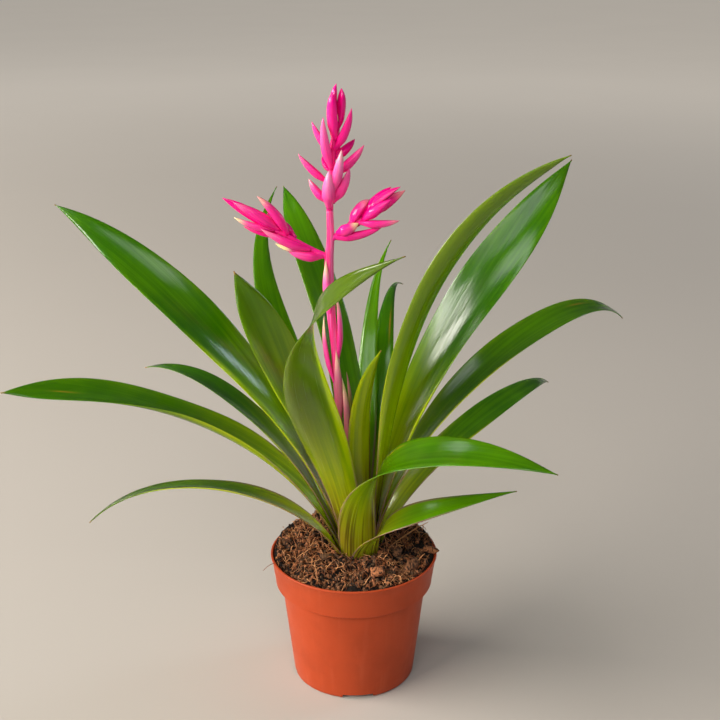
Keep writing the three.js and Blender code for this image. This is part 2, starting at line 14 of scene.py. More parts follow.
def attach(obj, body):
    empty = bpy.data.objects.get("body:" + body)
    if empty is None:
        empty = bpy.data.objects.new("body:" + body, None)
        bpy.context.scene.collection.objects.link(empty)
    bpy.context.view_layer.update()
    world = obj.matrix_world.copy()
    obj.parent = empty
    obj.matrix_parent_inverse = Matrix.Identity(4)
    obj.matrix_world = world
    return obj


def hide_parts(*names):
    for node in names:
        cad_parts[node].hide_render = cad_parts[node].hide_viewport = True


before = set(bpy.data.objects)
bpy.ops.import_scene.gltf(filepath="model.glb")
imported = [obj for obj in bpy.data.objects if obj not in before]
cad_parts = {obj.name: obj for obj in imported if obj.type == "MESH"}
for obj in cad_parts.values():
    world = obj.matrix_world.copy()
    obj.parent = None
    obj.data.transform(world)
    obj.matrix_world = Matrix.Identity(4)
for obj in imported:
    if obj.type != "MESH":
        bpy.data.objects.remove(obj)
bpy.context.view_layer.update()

bl_info = {
    "name": "Potted bromeliad",
    "version": (1, 0, 0),
    "blender": (4, 5, 0),
    "location": "3D View > Sidebar > Bromeliad",
    "description": "Builds a flowering bromeliad in a plastic nursery pot",
    "category": "Add Mesh",
}

MM = 0.001
CROWN = np.array([4.0, 0.0, 94.0])  # the leaves spring from here, in millimetres

# Angles are in degrees at four even steps from foot to tip: turn is the way the leaf points (0 to the
# right, 90 to the back, 180 to the left, 270 to the front), rise its slope, roll its twist about its own
# length. Lengths are in millimetres: shell is the radius of the sheath about the crown, channel that of the
# blade's section, size the length and the width. outline is the foot's share of the width and how late the
# blade narrows. The looks are young, the length over which the base stays yellow-green; dark, how deep the
# green is; olive, how brown it is; dry, the length of the withered tip; the lit margin band, a yellow-green
# margin that is partly the base's own colour and partly painted light (its side, the share along at which
# it ends, its breadth at the foot as a share); and marks, old scars (share along, share across, length,
# width, strength).
LEAF_USUAL = dict(channel=32, olive=0, band=(1, 0.4, 0.2), marks=())  # where a leaf says nothing else
LEAVES = {
    "back_broad": dict(
        shell=6, channel=60, size=(300, 30), outline=(0.25, 6), young=60, dark=0.75, dry=1.5,
        turn=(103, 128, 128, 101), rise=(87, 83, 57, 13), roll=(0, 20, 29, -44),
    ),
    "front_inner": dict(
        shell=6, channel=40, size=(167, 19), outline=(0.37, 4.6), young=190, dark=0.05, dry=2.5,
        turn=(284, 298, 307, 311), rise=(89, 103, 87, 53), roll=(0, 7, -2, -28),
    ),
    "back_narrow": dict(
        shell=7.2, size=(240, 18), outline=(0.4, 2.7), young=60, dark=0.3, dry=2,
        turn=(74, 91, 91, 63), rise=(85, 72, 61, 30), roll=(0, -5, -2, 4),
    ),
    "left_upright": dict(
        shell=7.2, size=(227, 44), outline=(0.27, 6.6), young=135, dark=0.6, olive=0.45, dry=3,
        band=(1, 0.8, 0.8),
        turn=(207, 184, 176, 173), rise=(79, 62, 76, 63), roll=(0, -16, -16, -71),
    ),
    "right_high": dict(
        shell=8.4, channel=24, size=(332, 35), outline=(0.4, 5), young=130, dark=0.3, olive=0.2, dry=1.5,
        band=(-1, 0.5, 0.5),
        turn=(6, -6, -9, -14), rise=(82, 86, 71, 26), roll=(0, -29, -16, -58),
    ),
    "back_slender": dict(
        shell=8.4, size=(311, 34), outline=(0.37, 2.1), young=60, dark=0.7, dry=1.5,
        turn=(148, 141, 112, 67), rise=(82, 55, 36, 32), roll=(0, 2, 5, 15),
    ),
    "back_hooked": dict(
        shell=9.6, size=(256, 30), outline=(0.47, 1.6), young=60, dark=1, dry=6,
        marks=((0.67, -0.55, 14, 0.5, 0.8),),
        turn=(55, 82, 95, 71), rise=(82, 82, 41, -24), roll=(0, -13, -12, 1),
    ),
    "left_broad": dict(
        shell=9.6, size=(336, 42), outline=(0.3, 4.6), young=125, dark=0.85, dry=1.5,
        band=(1, 0.64, 2.1),
        turn=(194, 182, 165, 149), rise=(77, 51, 54, 17), roll=(0, 12, -42, -54),
    ),
    "right_broad": dict(
        shell=10.8, size=(319, 50), outline=(0.45, 5.1), young=120, dark=0.9, dry=1.5,
        band=(-1, 0.5, 1.6),
        turn=(7, 10, 21, 38), rise=(82, 66, 55, 43), roll=(0, -6, 12, 59),
    ),
    "front_twisted": dict(
        shell=11.1, size=(343, 33), outline=(0.57, 3.6), young=110, dark=0.5, olive=0.75, dry=2,
        band=(1, 0.85, 0.6),
        turn=(250, 228, 266, 343), rise=(79, 47, 64, 23), roll=(0, 22, 44, 80),
    ),
    "left_narrow": dict(
        shell=12, size=(220, 32), outline=(0.45, 4.4), young=95, dark=1, dry=3,
        band=(1, 0.55, 0.6),
        turn=(184, 175, 158, 147), rise=(74, 53, 51, -22), roll=(0, 22, 0, 2),
    ),
    "right_arched": dict(
        shell=12, size=(326, 35), outline=(0.56, 3.8), young=90, dark=0.7, olive=0.1, dry=7,
        band=(-1, 0.6, 0.9), marks=((0.8, 0.5, 9, 0.6, 0.9),),
        turn=(-3, 18, 41, 50), rise=(85, 45, 29, -38), roll=(0, -16, 4, 40),
    ),
    "left_long": dict(
        shell=13.1, size=(282, 45), outline=(0.5, 5.3), young=110, dark=0.95, olive=0.1, dry=4,
        band=(1, 0.65, 0.75), marks=((0.853, 0.0, 8, 0.5, 0.7),),
        turn=(181, 178, 185, 193), rise=(75, 24, 23, -2), roll=(0, -5, 43, -53),
    ),
    "right_low": dict(
        shell=13.2, size=(234, 28), outline=(0.61, 3.4), young=75, dark=0.8, dry=6,
        band=(-1, 0.6, 0.5),
        turn=(26, 24, 46, 65), rise=(73, 20, 26, -28), roll=(0, -11, 11, 36),
    ),
    "rear_left": dict(
        shell=14.4, size=(152, 36), outline=(0.56, 3.2), young=70, dark=0.5, dry=2,
        turn=(139, 131, 124, 118), rise=(76, 42, 14, -11), roll=(0, -1, 0, 0),
    ),
    "front_arched": dict(
        shell=14.6, size=(235, 33), outline=(0.88, 4.1), young=75, dark=0.65, dry=1.5,
        band=(-1, 0.3, 0.1), marks=((0.455, 0.86, 5, 0.5, 1.0), (0.5, 0.88, 6, 0.45, 1.0)),
        turn=(-96, -59, -32, -8), rise=(79, 65, 10, -18), roll=(0, 38, 21, 39),
    ),
    "left_low": dict(
        shell=15.6, size=(209, 32), outline=(0.64, 3), young=65, dark=1, olive=0.4, dry=3,
        band=(1, 0.85, 0.75),
        turn=(199, 180, 173, 177), rise=(68, 12, 5, -48), roll=(0, -3, 39, -13),
    ),
    "front_low": dict(
        shell=15.6, size=(142, 28), outline=(0.82, 2), young=45, dark=0.35, dry=1.5,
        band=(-1, 0.3, 0.1),
        turn=(-72, -28, 4, 22), rise=(79, 27, 17, -2), roll=(0, 29, 27, 17),
    ),
    "rear_right": dict(
        shell=15.6, size=(162, 33), outline=(0.64, 3.2), young=70, dark=0.5, dry=2,
        turn=(69, 76, 80, 83), rise=(76, 37, 7, -21), roll=(0, 3, 2, 0),
    ),
}

# Points of the stalk and its radii, evenly spaced along it, in millimetres.
STALK_PATH = (
    (4, 0, 94.4), (3, 0, 120), (-2.5, 0, 152), (-9.5, 0, 190), (-11, 0, 217),
    (-12.5, 0, 249), (-15.2, 0, 280), (-16.1, 0, 310), (-15, 0, 327), (-15.3, 0, 346),
)
STALK_RADII = (4.4, 3.6, 3.0, 2.6, 2.4, 2.8, 3.1, 3.1, 2.5, 2.3)

# The thin bracts that wrap the stalk: height of the root, length, side in degrees, how far the tip stands
# off, how papery and brown-green it is, and how cream its tip is.
WRAPS = (
    (165, 54, 195, 5.5, 0.9, 0.2),
    (168, 62, 318, 5, 0.55, 0.75),
    (172, 62, 350, 7, 1.2, 0.0),
    (195, 55, 285, 3.2, 0.45, 0.5),
    (224, 50, 185, 5, 0.0, 0.8),
    (240, 50, 350, 3.8, 0.0, 0.6),
    (272, 41, 235, 3.4, 0.0, 0.7),
)

# A spray is its root, the points and radii of its stem, and its bracts. A bract is its root, its tip, its
# width, how late it narrows, how pale it is (partly its own colour and partly painted light; below 0 it is
# deeper, as painted shade) and how cream its tip is.
SPRAYS = {
    "top": dict(
        root=(-15.3, 0, 346.4),
        stem=((0, 0, 0), (1.5, 0, 25), (3, 0, 42), (4.5, 0, 60)),
        radii=(2.3, 1.9, 1.5, 1),
        bracts=(
            ((-0.5, -1, 2), (0, -7, 27), 10, 3.4, 0.8, 0.1),
            ((2, -2, 12), (8, -8, 40.5), 8, 3.4, 0.9, 0.3),
            ((1.5, 0, 5), (13, -2, 28), 9.5, 3.4, 0.35, 0),
            ((-1, 0, 5), (-13.5, 2, 20), 8, 3.4, 0.3, 0.25),
            ((0, 1, 7), (3, 13, 31), 8.5, 3.4, 0.2, 0),
            ((-0.5, 0, 18), (-20, -2, 37), 7.5, 3.4, 0.25, 0.1),
            ((2.5, 0, 23), (22.5, 2, 42), 9, 3.4, 0.2, 0.1),
            ((1, 1, 25), (-4, 12, 33.5), 7, 6, -0.2, 0),
            ((1.5, -1, 27), (-3.5, -7, 61), 8, 3.4, 0.45, 0.05),
            ((2.5, 1, 32), (5, 13, 53), 7.5, 3.4, 0, 0),
            ((3, 1, 34), (16.5, 7, 45), 8, 3.4, -0.2, 0),
            ((2, 0, 37), (-11, 1, 57), 7, 3.4, 0.2, 0),
            ((3, 0, 39), (14.5, -2, 66), 8.5, 3.4, 0.05, 0),
            ((3, 1, 44), (4.5, 9, 65), 7, 3.4, 0, 0),
            ((4.2, -1.5, 46), (2.4, -6, 76.5), 8, 6, 0, 0),
            ((4, 0.5, 50), (8, 1.5, 78), 7.5, 7, -0.1, 0),
            ((4, 0, 55), (4.8, 0.5, 81), 6.5, 6, 0, 0),
            ((3.5, -2.5, 54), (5.2, -4.6, 63), 3.4, 3.4, 0.3, 1),
        ),
    ),
    "left": dict(
        root=(-18.4, 0, 315),
        stem=((2.6, 0, -1), (-10, 0, 5), (-24, 0, 13), (-34, -1, 19), (-42, -1, 25)),
        radii=(2.2, 2, 1.7, 1.4, 1),
        bracts=(
            ((-1.5, 0, 0.5), (-25, -2, 4.5), 10, 3.4, 0.3, 0),
            ((-15, -1.5, 5), (-33, -3, 9.5), 6, 3.4, 0.6, 1),
            ((-10, -1.5, 5), (-42, -6, 20), 7.5, 3.4, 0.2, 0.15),
            ((-20, 1.5, 12), (-39, 10, 27), 8, 3.4, -0.25, 0),
            ((-26, 2, 14.5), (-54, 3, 19.5), 7, 3.4, -0.05, 0.1),
            ((-25, 0, 14.5), (-44, -3, 41), 9, 3.4, 0.15, 0.45),
            ((-33, -1, 18.5), (-59.5, -3, 27), 7, 3.4, 0.35, 0.85),
            ((-30, 0, 17.5), (-59.5, -4, 37), 9, 3.4, 0.05, 0.1),
            ((-34, 0.5, 20), (-67, 1, 39), 8.5, 3.4, 0, 0),
        ),
    ),
    "right": dict(
        root=(-12.4, 0, 328.4),
        stem=((-2.6, 0, -2), (6, 0, 3.5), (14, 0, 9), (24, 0, 15.5), (31, 0, 21)),
        radii=(2.2, 2, 1.7, 1.4, 1),
        bracts=(
            ((-1.5, 0, -0.5), (32, -1, 7), 8.5, 3.4, 0.1, 0),
            ((2, -1, 2.5), (16, -4, 10), 9.5, 3.4, 0.1, 0.9),
            ((8, 1.5, 5.5), (26, 10, 16), 8, 3.4, -0.25, 0),
            ((11, 0, 7.5), (23, 1, 24.5), 9.5, 6, 0.15, 0.2),
            ((16, -1, 10), (43, -3, 11.5), 8, 3.4, 0.25, 0.25),
            ((19, -1, 11.5), (37.5, -5, 26), 8, 3.4, 0, 0),
            ((19, 0, 13), (37.5, 3, 32.5), 8.5, 3.4, 0, 0),
            ((20, 0.5, 13.5), (43.5, 1, 33), 9, 3.4, 0.05, 0),
            ((24, 1, 15), (46.5, 4, 30), 8.5, 3.4, -0.1, 0.3),
        ),
    ),
}

# The larger chips of bark, in millimetres and radians: centre, half sizes, turn, how fresh the break is (0
# to 1), and the centre's height above the mix.
CHIPS = np.array([
    (16.6, -38, 5.2, 5.0, 2.4, 0.1, 1.0, 2.2),
    (40, -26, 6.8, 3.6, 3.2, 0.75, 0.45, 2.6),
    (-19, -21, 5.0, 2.6, 1.8, 0.3, 0.1, 2.0),
    (55.5, -5, 6.4, 3.0, 1.8, -0.5, 0.8, 3.4),
    (31.5, -11.5, 3.4, 2.6, 2.4, 1.2, 0.3, 2.6),
    (-19, 5, 2.6, 1.8, 1.3, 0.2, 0.8, 1.6),
    (46, 3.5, 1.5, 1.1, 0.8, 0.4, 1.0, 2.2),
    (6, -46, 4.2, 2.2, 1.2, 0.2, 0.5, 1.4),
])

# Long strands of coir: a pale one stands out at the right, one crosses the left rim, three lie on the left
# side. Each is its points, its radius and how pale it is.
STRANDS = (
    (((26, -5, 101.5), (35, 1, 105.5), (45, 7, 109.5), (54, 12, 112)), 0.6, 1),
    (((-48, -17, 97), (-55, -22, 98), (-60, -24, 96.5), (-64, -25, 93)), 0.3, 0.6),
    (((-44, 4, 103), (-41, -6, 102), (-42, -14, 101), (-40, -22, 99.5)), 0.42, 0.66),
    (((-27, 2, 103), (-25, -7, 102.5), (-27, -12, 101.5), (-31, -15, 100.5)), 0.42, 0.7),
    (((-20, -2, 102), (-16, -10, 101.5), (-13, -16, 101), (-11, -20, 100.5)), 0.5, 0.5),
)


# ---- colours and settings ------------------------------------------------------------------------


def linear(hex_colour):
    """An sRGB hex colour as linear RGBA: each channel is cut at 0.04045 and raised to 2.4 above it."""
    channels = [int(hex_colour[i : i + 2], 16) / 255 for i in (1, 3, 5)]
    return (*(c / 12.92 if c <= 0.04045 else ((c + 0.055) / 1.055) ** 2.4 for c in channels), 1.0)


def colour_setting(name, description, hex_colour):
    """A colour property whose default is an sRGB hex value."""
    look = dict(default=linear(hex_colour), size=4, subtype="COLOR", min=0, max=1)
    return bpy.props.FloatVectorProperty(name=name, description=description, **look)


def length_setting(name, description, millimetres):
    """A length property whose default is given in millimetres."""
    look = dict(default=millimetres * MM, unit="LENGTH", precision=4)
    return bpy.props.FloatProperty(name=name, description=description, **look)


class PotSettings(bpy.types.PropertyGroup):
    """Sizes and colour of the nursery pot."""

    height: length_setting("Height", "Height of the pot", 96)
    rim_radius: length_setting("Rim radius", "Outer radius at the rim", 60)
    foot_radius: length_setting("Foot radius", "Outer radius at the foot", 44.2)
    wall: length_setting("Wall", "Thickness of the moulded wall", 1.3)
    collar_height: length_setting("Collar height", "Height of the wider band below the rim", 22)
    colour: colour_setting("Colour", "Colour of the plastic", "#B04522")


class SoilSettings(bpy.types.PropertyGroup):
    """How the potting mix looks."""

    fibres: bpy.props.IntProperty(name="Fibres", description="Number of coir fibres", default=2900, min=0)
    fibre_length: length_setting("Fibre length", "Longest common coir fibre", 12)
    dark: colour_setting("Peat", "Colour of the moist mix between the fibres", "#120903")
    fibre: colour_setting("Fibre", "Colour of most coir fibres", "#8A4A1E")
    pale_fibre: colour_setting("Pale fibre", "Colour of the palest fibres", "#D0925E")
    bark: colour_setting("Bark", "Colour of a fresh break in the bark", "#B87448")


class LeafSettings(bpy.types.PropertyGroup):
    """Sizes and colours of the strap leaves."""

    thickness: length_setting("Thickness", "Thickness along the middle of a leaf", 0.7)
    margin: length_setting("Margin", "Thickness at the leaf's edges", 0.3)
    deep: colour_setting("Deep green", "Upper face of the darkest leaves", "#2A5C00")
    bright: colour_setting("Bright green", "Upper face of the lightest leaves", "#568E00")
    under: colour_setting("Underside", "Outer face of the leaves", "#688200")
    young: colour_setting("Base", "Yellow-green of the leaf bases", "#A8B400")
    stripe: colour_setting("Stripes", "Purple-brown lengthwise stripes on the bases", "#4A3210")
    dry: colour_setting("Withered", "Dry tips and old scars", "#8A5E30")


class FlowerSettings(bpy.types.PropertyGroup):
    """Colours of the flower head and its stalk."""

    pink: colour_setting("Pink", "Colour of the bracts", "#F8008C")
    pale: colour_setting("Pale pink", "Colour of the palest bracts", "#F582BE")
    deep: colour_setting("Deep pink", "Colour of the shaded bracts", "#AE0068")
    cream: colour_setting("Cream", "Petals and bract tips", "#F6E6A6")
    stalk: colour_setting("Stalk", "Colour of the stalk", "#E8307E")
    papery: colour_setting("Papery", "Colour of the low bracts on the stalk", "#7E7A30")


class StageSettings(bpy.types.PropertyGroup):
    """Floor, light and camera."""

    floor: colour_setting("Floor", "Colour of the floor", "#BDB6AC")
    key_power: bpy.props.FloatProperty(name="Key light", description="Its power", default=165, unit="POWER")
    lens: bpy.props.FloatProperty(name="Lens", description="Focal length", default=60, unit="CAMERA")
    pitch: bpy.props.FloatProperty(
        name="Pitch", description="Angle that it looks down", default=math.radians(19.56), subtype="ANGLE"
    )


SETTINGS = {
    "bromeliad_pot": PotSettings,
    "bromeliad_soil": SoilSettings,
    "bromeliad_leaves": LeafSettings,
    "bromeliad_flower": FlowerSettings,
    "bromeliad_stage": StageSettings,
}


# ---- meshes ----------------------------------------------------------------------------------------


def smooth(x):
    """Rises from 0 to 1 as 3x^2 - 2x^3, and is held outside that range."""
    t = np.clip(x, 0, 1)
    return t * t * (3 - 2 * t)


def blend(values, t):
    """Cubic blend of four values: each is weighted by its Bernstein polynomial at t."""
    a, b, c, d = values
    u = 1 - t
    return a * u**3 + 3 * b * t * u**2 + 3 * c * t**2 * u + d * t**3


def unit(vectors):
    """Vectors divided by their lengths."""
    return vectors / np.maximum(np.linalg.norm(vectors, axis=-1, keepdims=True), 1e-12)


def noise(points, cell, seed):
    """Value noise from -1 to 1: a seeded number at each corner of a grid of cells, blended with smooth
    weights. Large odd factors and shifts scatter the numbers of neighbouring corners."""
    grid = points / cell
    low = np.floor(grid).astype(np.int64)
    part = smooth(grid - low)
    total = np.zeros(points.shape[:-1])
    for corner in range(8):
        step = np.array([corner & 1, corner >> 1 & 1, corner >> 2 & 1])
        x, y, z = np.moveaxis(low + step, -1, 0)
        mixed = (x * 73856093) ^ (y * 19349663) ^ (z * 83492791) ^ (seed * 2654435761)
        mixed = (mixed ^ (mixed >> 13)) * 1274126177
        value = ((mixed ^ (mixed >> 16)) & 0xFFFF) / 32767.5 - 1
        weight = np.where(step == 1, part, 1 - part).prod(-1)
        total += weight * value
    return total


def spline(path, t):
    """A smooth curve through points: cubic pieces whose slopes are half the step between neighbours."""
    path = np.asarray(path, float)
    padded = np.vstack([2 * path[0] - path[1], path, 2 * path[-1] - path[-2]])
    at = np.clip(t, 0, 1) * (len(path) - 1)
    low = np.minimum(at.astype(int), len(path) - 2)
    f = (at - low)[:, None]
    p0, p1, p2, p3 = (padded[low + i] for i in range(4))
    square, cube = 2 * p0 - 5 * p1 + 4 * p2 - p3, 3 * p1 - p0 - 3 * p2 + p3
    return 0.5 * (2 * p1 + (p2 - p0) * f + square * f**2 + cube * f**3)


def tube(points):
    """A closed body from rings of points, shaped (rings, round, 3): quads between rings and a fan at each
    end. Gives vertices, quads and triangles."""
    rings, count = points.shape[:2]
    index = np.arange(count)
    after = (index + 1) % count
    low = (np.arange(rings - 1) * count)[:, None]
    high = low + count
    quads = np.stack([low + index, low + after, high + after, high + index], -1).reshape(-1, 4)
    middle, last = rings * count, (rings - 1) * count
    start = np.stack([np.full(count, middle), after, index], -1)
    end = np.stack([np.full(count, middle + 1), last + index, last + after], -1)
    vertices = np.vstack([points.reshape(-1, 3), points[0].mean(0), points[-1].mean(0)])
    return vertices, quads, np.vstack([start, end])


def many_tubes(points):
    """Closed bodies from many sets of rings, shaped (bodies, rings, round, 3), in one mesh."""
    bodies, rings, count = points.shape[:3]
    ends = np.stack([points[:, 0].mean(1), points[:, -1].mean(1)], 1)
    vertices = np.concatenate([points.reshape(bodies, -1, 3), ends], 1)
    _, quads, triangles = tube(points[0])
    offset = (np.arange(bodies) * vertices.shape[1])[:, None, None]
    return vertices.reshape(-1, 3), (quads + offset).reshape(-1, 4), (triangles + offset).reshape(-1, 3)


def make_piece(name, material, shape, attributes=None, uv=None):
    """Puts a shape (vertices in millimetres, quads, triangles) into a mesh object, with a float attribute
    per vertex for each named array and a UV map."""
    vertices, quads, triangles = shape
    mesh = bpy.data.meshes.new(name)
    corners = np.concatenate([quads.ravel(), triangles.ravel()]).astype(np.int32)
    sizes = np.repeat([4, 3], [len(quads), len(triangles)])
    mesh.vertices.add(len(vertices))
    mesh.vertices.foreach_set("co", (vertices * MM).astype(np.float32).ravel())
    mesh.loops.add(len(corners))
    mesh.loops.foreach_set("vertex_index", corners)
    mesh.polygons.add(len(sizes))
    mesh.polygons.foreach_set("loop_start", (np.cumsum(sizes) - sizes).astype(np.int32))
    mesh.update(calc_edges=True)
    mesh.validate()
    mesh.polygons.foreach_set("use_smooth", np.ones(len(mesh.polygons), bool))
    for key, values in (attributes or {}).items():
        layer = mesh.attributes.new(key, "FLOAT", "POINT")
        layer.data.foreach_set("value", values.astype(np.float32).ravel())
    if uv is not None:
        layer = mesh.uv_layers.new(name="Blade")
        layer.data.foreach_set("uv", uv.astype(np.float32)[corners].ravel())
    mesh.materials.append(material)
    piece = bpy.data.objects.new(name, mesh)
    bpy.context.scene.collection.objects.link(piece)
    return piece


def place(piece, slot, *nodes):
    """Makes a piece ride on the part and stand for its nodes."""
    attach(piece, "root")
    if nodes:
        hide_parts(*nodes)


# ---- materials -------------------------------------------------------------------------------------
# A pattern's scale is 1000 divided by its size in millimetres, so 480 gives crumbs of about 2 mm.


SMOOTH = {"interpolation_type": "SMOOTHSTEP"}
COLOUR = {"data_type": "RGBA"}


def add(tree, kind, inputs=None, out=0, **settings):
    """Adds a shader node with its settings. A value in inputs is set on the socket, and another node's
    socket is linked to it. Gives the output that is asked for."""
    made = tree.nodes.new("ShaderNode" + kind)
    for key, value in settings.items():
        setattr(made, key, value)
    for key, value in (inputs or {}).items():
        if isinstance(value, bpy.types.NodeSocket):
            tree.links.new(value, made.inputs[key])
        else:
            made.inputs[key].default_value = value
    return made.outputs[out] if made.outputs else made


def make_material(skin, settings):
    """A material named for its skin function, which gives the first tone, the layers over it and the
    surface's inputs. A layer is its share and its colour, or a pattern, the range in which it shows, its
    most and its colour."""
    material = bpy.data.materials.new(skin.__name__)
    material.use_nodes = True
    tree = material.node_tree
    tree.nodes.clear()
    tone, layers, inputs = skin(tree, settings)
    for share, *span, colour in layers:
        if span:
            share = add(tree, "MapRange", {0: share, 1: span[0], 2: span[1], 4: span[2]}, **SMOOTH)
        tone = add(tree, "Mix", {0: share, 6: tone, 7: colour}, 2, **COLOUR)
    surface = add(tree, "BsdfPrincipled", {"Base Color": tone} | inputs)
    add(tree, "OutputMaterial", {"Surface": surface})
    return material


def moulded_polypropylene(tree, settings):
    """Injection-moulded polypropylene: a satin skin in one warm colour, with faint flow marks up the wall,
    soft scuffs where it is handled, and a fine grain that breaks the gloss."""
    position = add(tree, "TexCoord", out="Object")
    scuffs = add(tree, "TexNoise", {"Vector": position, "Scale": 30, "Detail": 4, "Roughness": 0.6})
    # Flow marks run up the wall, about 6 mm apart.
    lines = add(tree, "Mapping", {"Vector": position, "Scale": (160, 160, 14)})
    flow = add(tree, "TexNoise", {"Vector": lines, "Scale": 1, "Detail": 2})
    grain = add(tree, "TexNoise", {"Vector": position, "Scale": 1900, "Detail": 2})
    rough = add(tree, "MapRange", {0: scuffs, 1: 0.3, 2: 0.7, 3: 0.4, 4: 0.5}, **SMOOTH)
    height = add(tree, "Math", {0: grain, 1: flow}, operation="ADD")
    normal = add(tree, "Bump", {"Height": height, "Distance": 0.03 * MM, "Strength": 0.5})
    deeper = tuple(c * 0.86 for c in settings.colour[:3]) + (1.0,)
    layers = (scuffs, 0.4, 0.7, 1, deeper), (flow, 0.5, 0.8, 0.12, linear("#DB7350"))
    inputs = {"Roughness": rough, "IOR": 1.49, "Specular IOR Level": 0.18, "Normal": normal}
    return settings.colour, layers, inputs | {"Subsurface Weight": 0.06, "Subsurface Scale": 2 * MM}


def moist_peat(tree, settings):
    """Moist peat and fine bark under the fibres: matt, nearly black in its pores, with red-brown crumbs."""
    position = add(tree, "TexCoord", out="Object")
    crumbs = add(tree, "TexNoise", {"Vector": position, "Scale": 480, "Detail": 4, "Roughness": 0.65})
    normal = add(tree, "Bump", {"Height": crumbs, "Distance": 1.6 * MM})
    inputs = {"Roughness": 0.95, "IOR": 1.4, "Normal": normal}
    return settings.dark, [(crumbs, 0.56, 0.75, 0.7, settings.fibre)], inputs


def coir_fibre(tree, settings):
    """Coconut fibre: curly strands from near black through orange-brown to straw, each in one tone, dull
    and dry, with dirt in patches along them. The near black of the fibres lying low in the mix is painted
    shade."""
    shade = add(tree, "Attribute", out="Fac", attribute_name="shade")
    position = add(tree, "TexCoord", out="Object")
    dirt = add(tree, "TexNoise", {"Vector": position, "Scale": 650, "Detail": 3, "Roughness": 0.6})
    layers = (
        (shade, 0.1, 0.45, 1, settings.fibre),
        (shade, 0.55, 1.0, 1, settings.pale_fibre),
        (dirt, 0.5, 0.72, 0.75, settings.dark),
    )
    return settings.dark, layers, {"Roughness": 0.72, "IOR": 1.45}


def broken_pine_bark(tree, settings):
    """Broken pine bark: layered and rough, orange-brown on fresh breaks, with dark cracks along the
    grain."""
    shade = add(tree, "Attribute", out="Fac", attribute_name="shade")
    position = add(tree, "TexCoord", out="Object")
    # The bark's plates are about 1 mm thick and cracks run along them for 4 mm.
    grain = add(tree, "Mapping", {"Vector": position, "Rotation": (0.3, 0.2, 0.7), "Scale": (900, 250, 750)})
    plates = add(tree, "TexNoise", {"Vector": grain, "Scale": 1, "Detail": 4, "Roughness": 0.65})
    fresh = add(tree, "Mix", {0: shade, 6: linear("#5E452C"), 7: settings.bark}, 2, **COLOUR)
    normal = add(tree, "Bump", {"Height": plates, "Distance": 1.0 * MM})
    inputs = {"Roughness": 0.85, "IOR": 1.45, "Normal": normal}
    return linear("#24140B"), [(plates, 0.36, 0.58, 1, fresh)], inputs


def waxy_leaf(tree, settings):
    """Bromeliad leaf: a waxy, glossy skin over parallel veins, deep green above and yellow-green below and
    at the base, where brown stripes run up the sheath, with a thin papery margin, dry scars and a withered
    tip. The base's yellow-green also runs up one margin, partly as painted light."""
    blade = add(tree, "UVMap", uv_map="Blade")
    masks = ("under", "young", "dark", "stripe", "margin", "mark", "dry", "olive", "roll")
    under, young, dark, stripe, margin, mark, dry, olive, roll = (
        add(tree, "Attribute", out="Fac", attribute_name=key) for key in masks
    )
    # Veins are 0.9 mm apart, the broader streaks that show at this size 3 mm, the clouds of colour 25 mm,
    # and the stripes on the sheath 1.6 mm.
    kinds = ((1100, 9), 2, 0.6), ((330, 5), 3, 0.6), ((40, 22), 2, 0.5), ((620, 8), 2, 0.55)
    veins, streaks, cloud, lines = (
        add(tree, "TexNoise", {
            "Vector": add(tree, "Mapping", {"Vector": blade, "Scale": (*scale, 1)}),
            "Scale": 1, "Detail": detail, "Roughness": roughness,
        })
        for scale, detail, roughness in kinds
    )
    depth = dark
    for pattern, most in ((cloud, 0.15), (streaks, 0.16)):
        shift = add(tree, "MapRange", {0: pattern, 1: 0.3, 2: 0.7, 3: -most, 4: most}, **SMOOTH)
        depth = add(tree, "Math", {0: depth, 1: shift}, operation="ADD", use_clamp=True)
    share = add(tree, "MapRange", {0: streaks, 1: 0.3, 2: 0.7, 4: 0.6}, **SMOOTH)
    below = add(tree, "Mix", {0: share, 6: settings.under, 7: linear("#4C6E00")}, 2, **COLOUR)
    share = add(tree, "MapRange", {0: streaks, 1: 0.35, 2: 0.7}, **SMOOTH)
    base = add(tree, "Mix", {0: share, 6: settings.young, 7: linear("#809600")}, 2, **COLOUR)
    lines = add(tree, "MapRange", {0: lines, 1: 0.44, 2: 0.58}, **SMOOTH)
    ragged = add(tree, "MapRange", {0: veins, 1: 0.3, 2: 0.6, 3: 0.4}, **SMOOTH)
    tanned, striped, scar = (
        add(tree, "Math", {0: mask, 1: factor}, operation="MULTIPLY")
        for mask, factor in ((stripe, 0.85), (lines, stripe), (mark, ragged))
    )
    layers = (
        (depth, settings.deep), (under, below), (olive, linear("#4A5800")), (young, base),
        (tanned, linear("#978326")), (striped, settings.stripe), (margin, linear("#7C5358")),
        (scar, linear("#B9772E")), (dry, settings.dry),
    )
    gloss = add(tree, "MapRange", {0: veins, 1: 0.25, 2: 0.75, 3: 0.12, 4: 0.2}, **SMOOTH)
    for mask, more in ((under, 0.08), (dry, 0.4)):
        gloss = add(tree, "Math", {0: mask, 1: more, 2: gloss}, operation="MULTIPLY_ADD")
    height = add(tree, "Math", {0: streaks, 1: 1.5, 2: veins}, operation="MULTIPLY_ADD")
    normal = add(tree, "Bump", {"Height": height, "Distance": 0.12 * MM, "Strength": 0.8})
    # The margins roll over by 1.4 mm, so that a line of gloss runs along them.
    normal = add(tree, "Bump", {"Height": roll, "Distance": 1.4 * MM, "Normal": normal}, invert=True)
    # Light shines through a leaf, most of all through its thin pale base.
    clear = add(tree, "MapRange", {0: young, 3: 0.45, 4: 0.9})
    inputs = {"Roughness": gloss, "IOR": 1.48, "Specular IOR Level": 0.5, "Normal": normal}
    inputs |= {"Subsurface Weight": clear, "Subsurface Radius": (0.75, 1.0, 0.05), "Subsurface Scale": 4 * MM}
    return settings.bright, layers, inputs


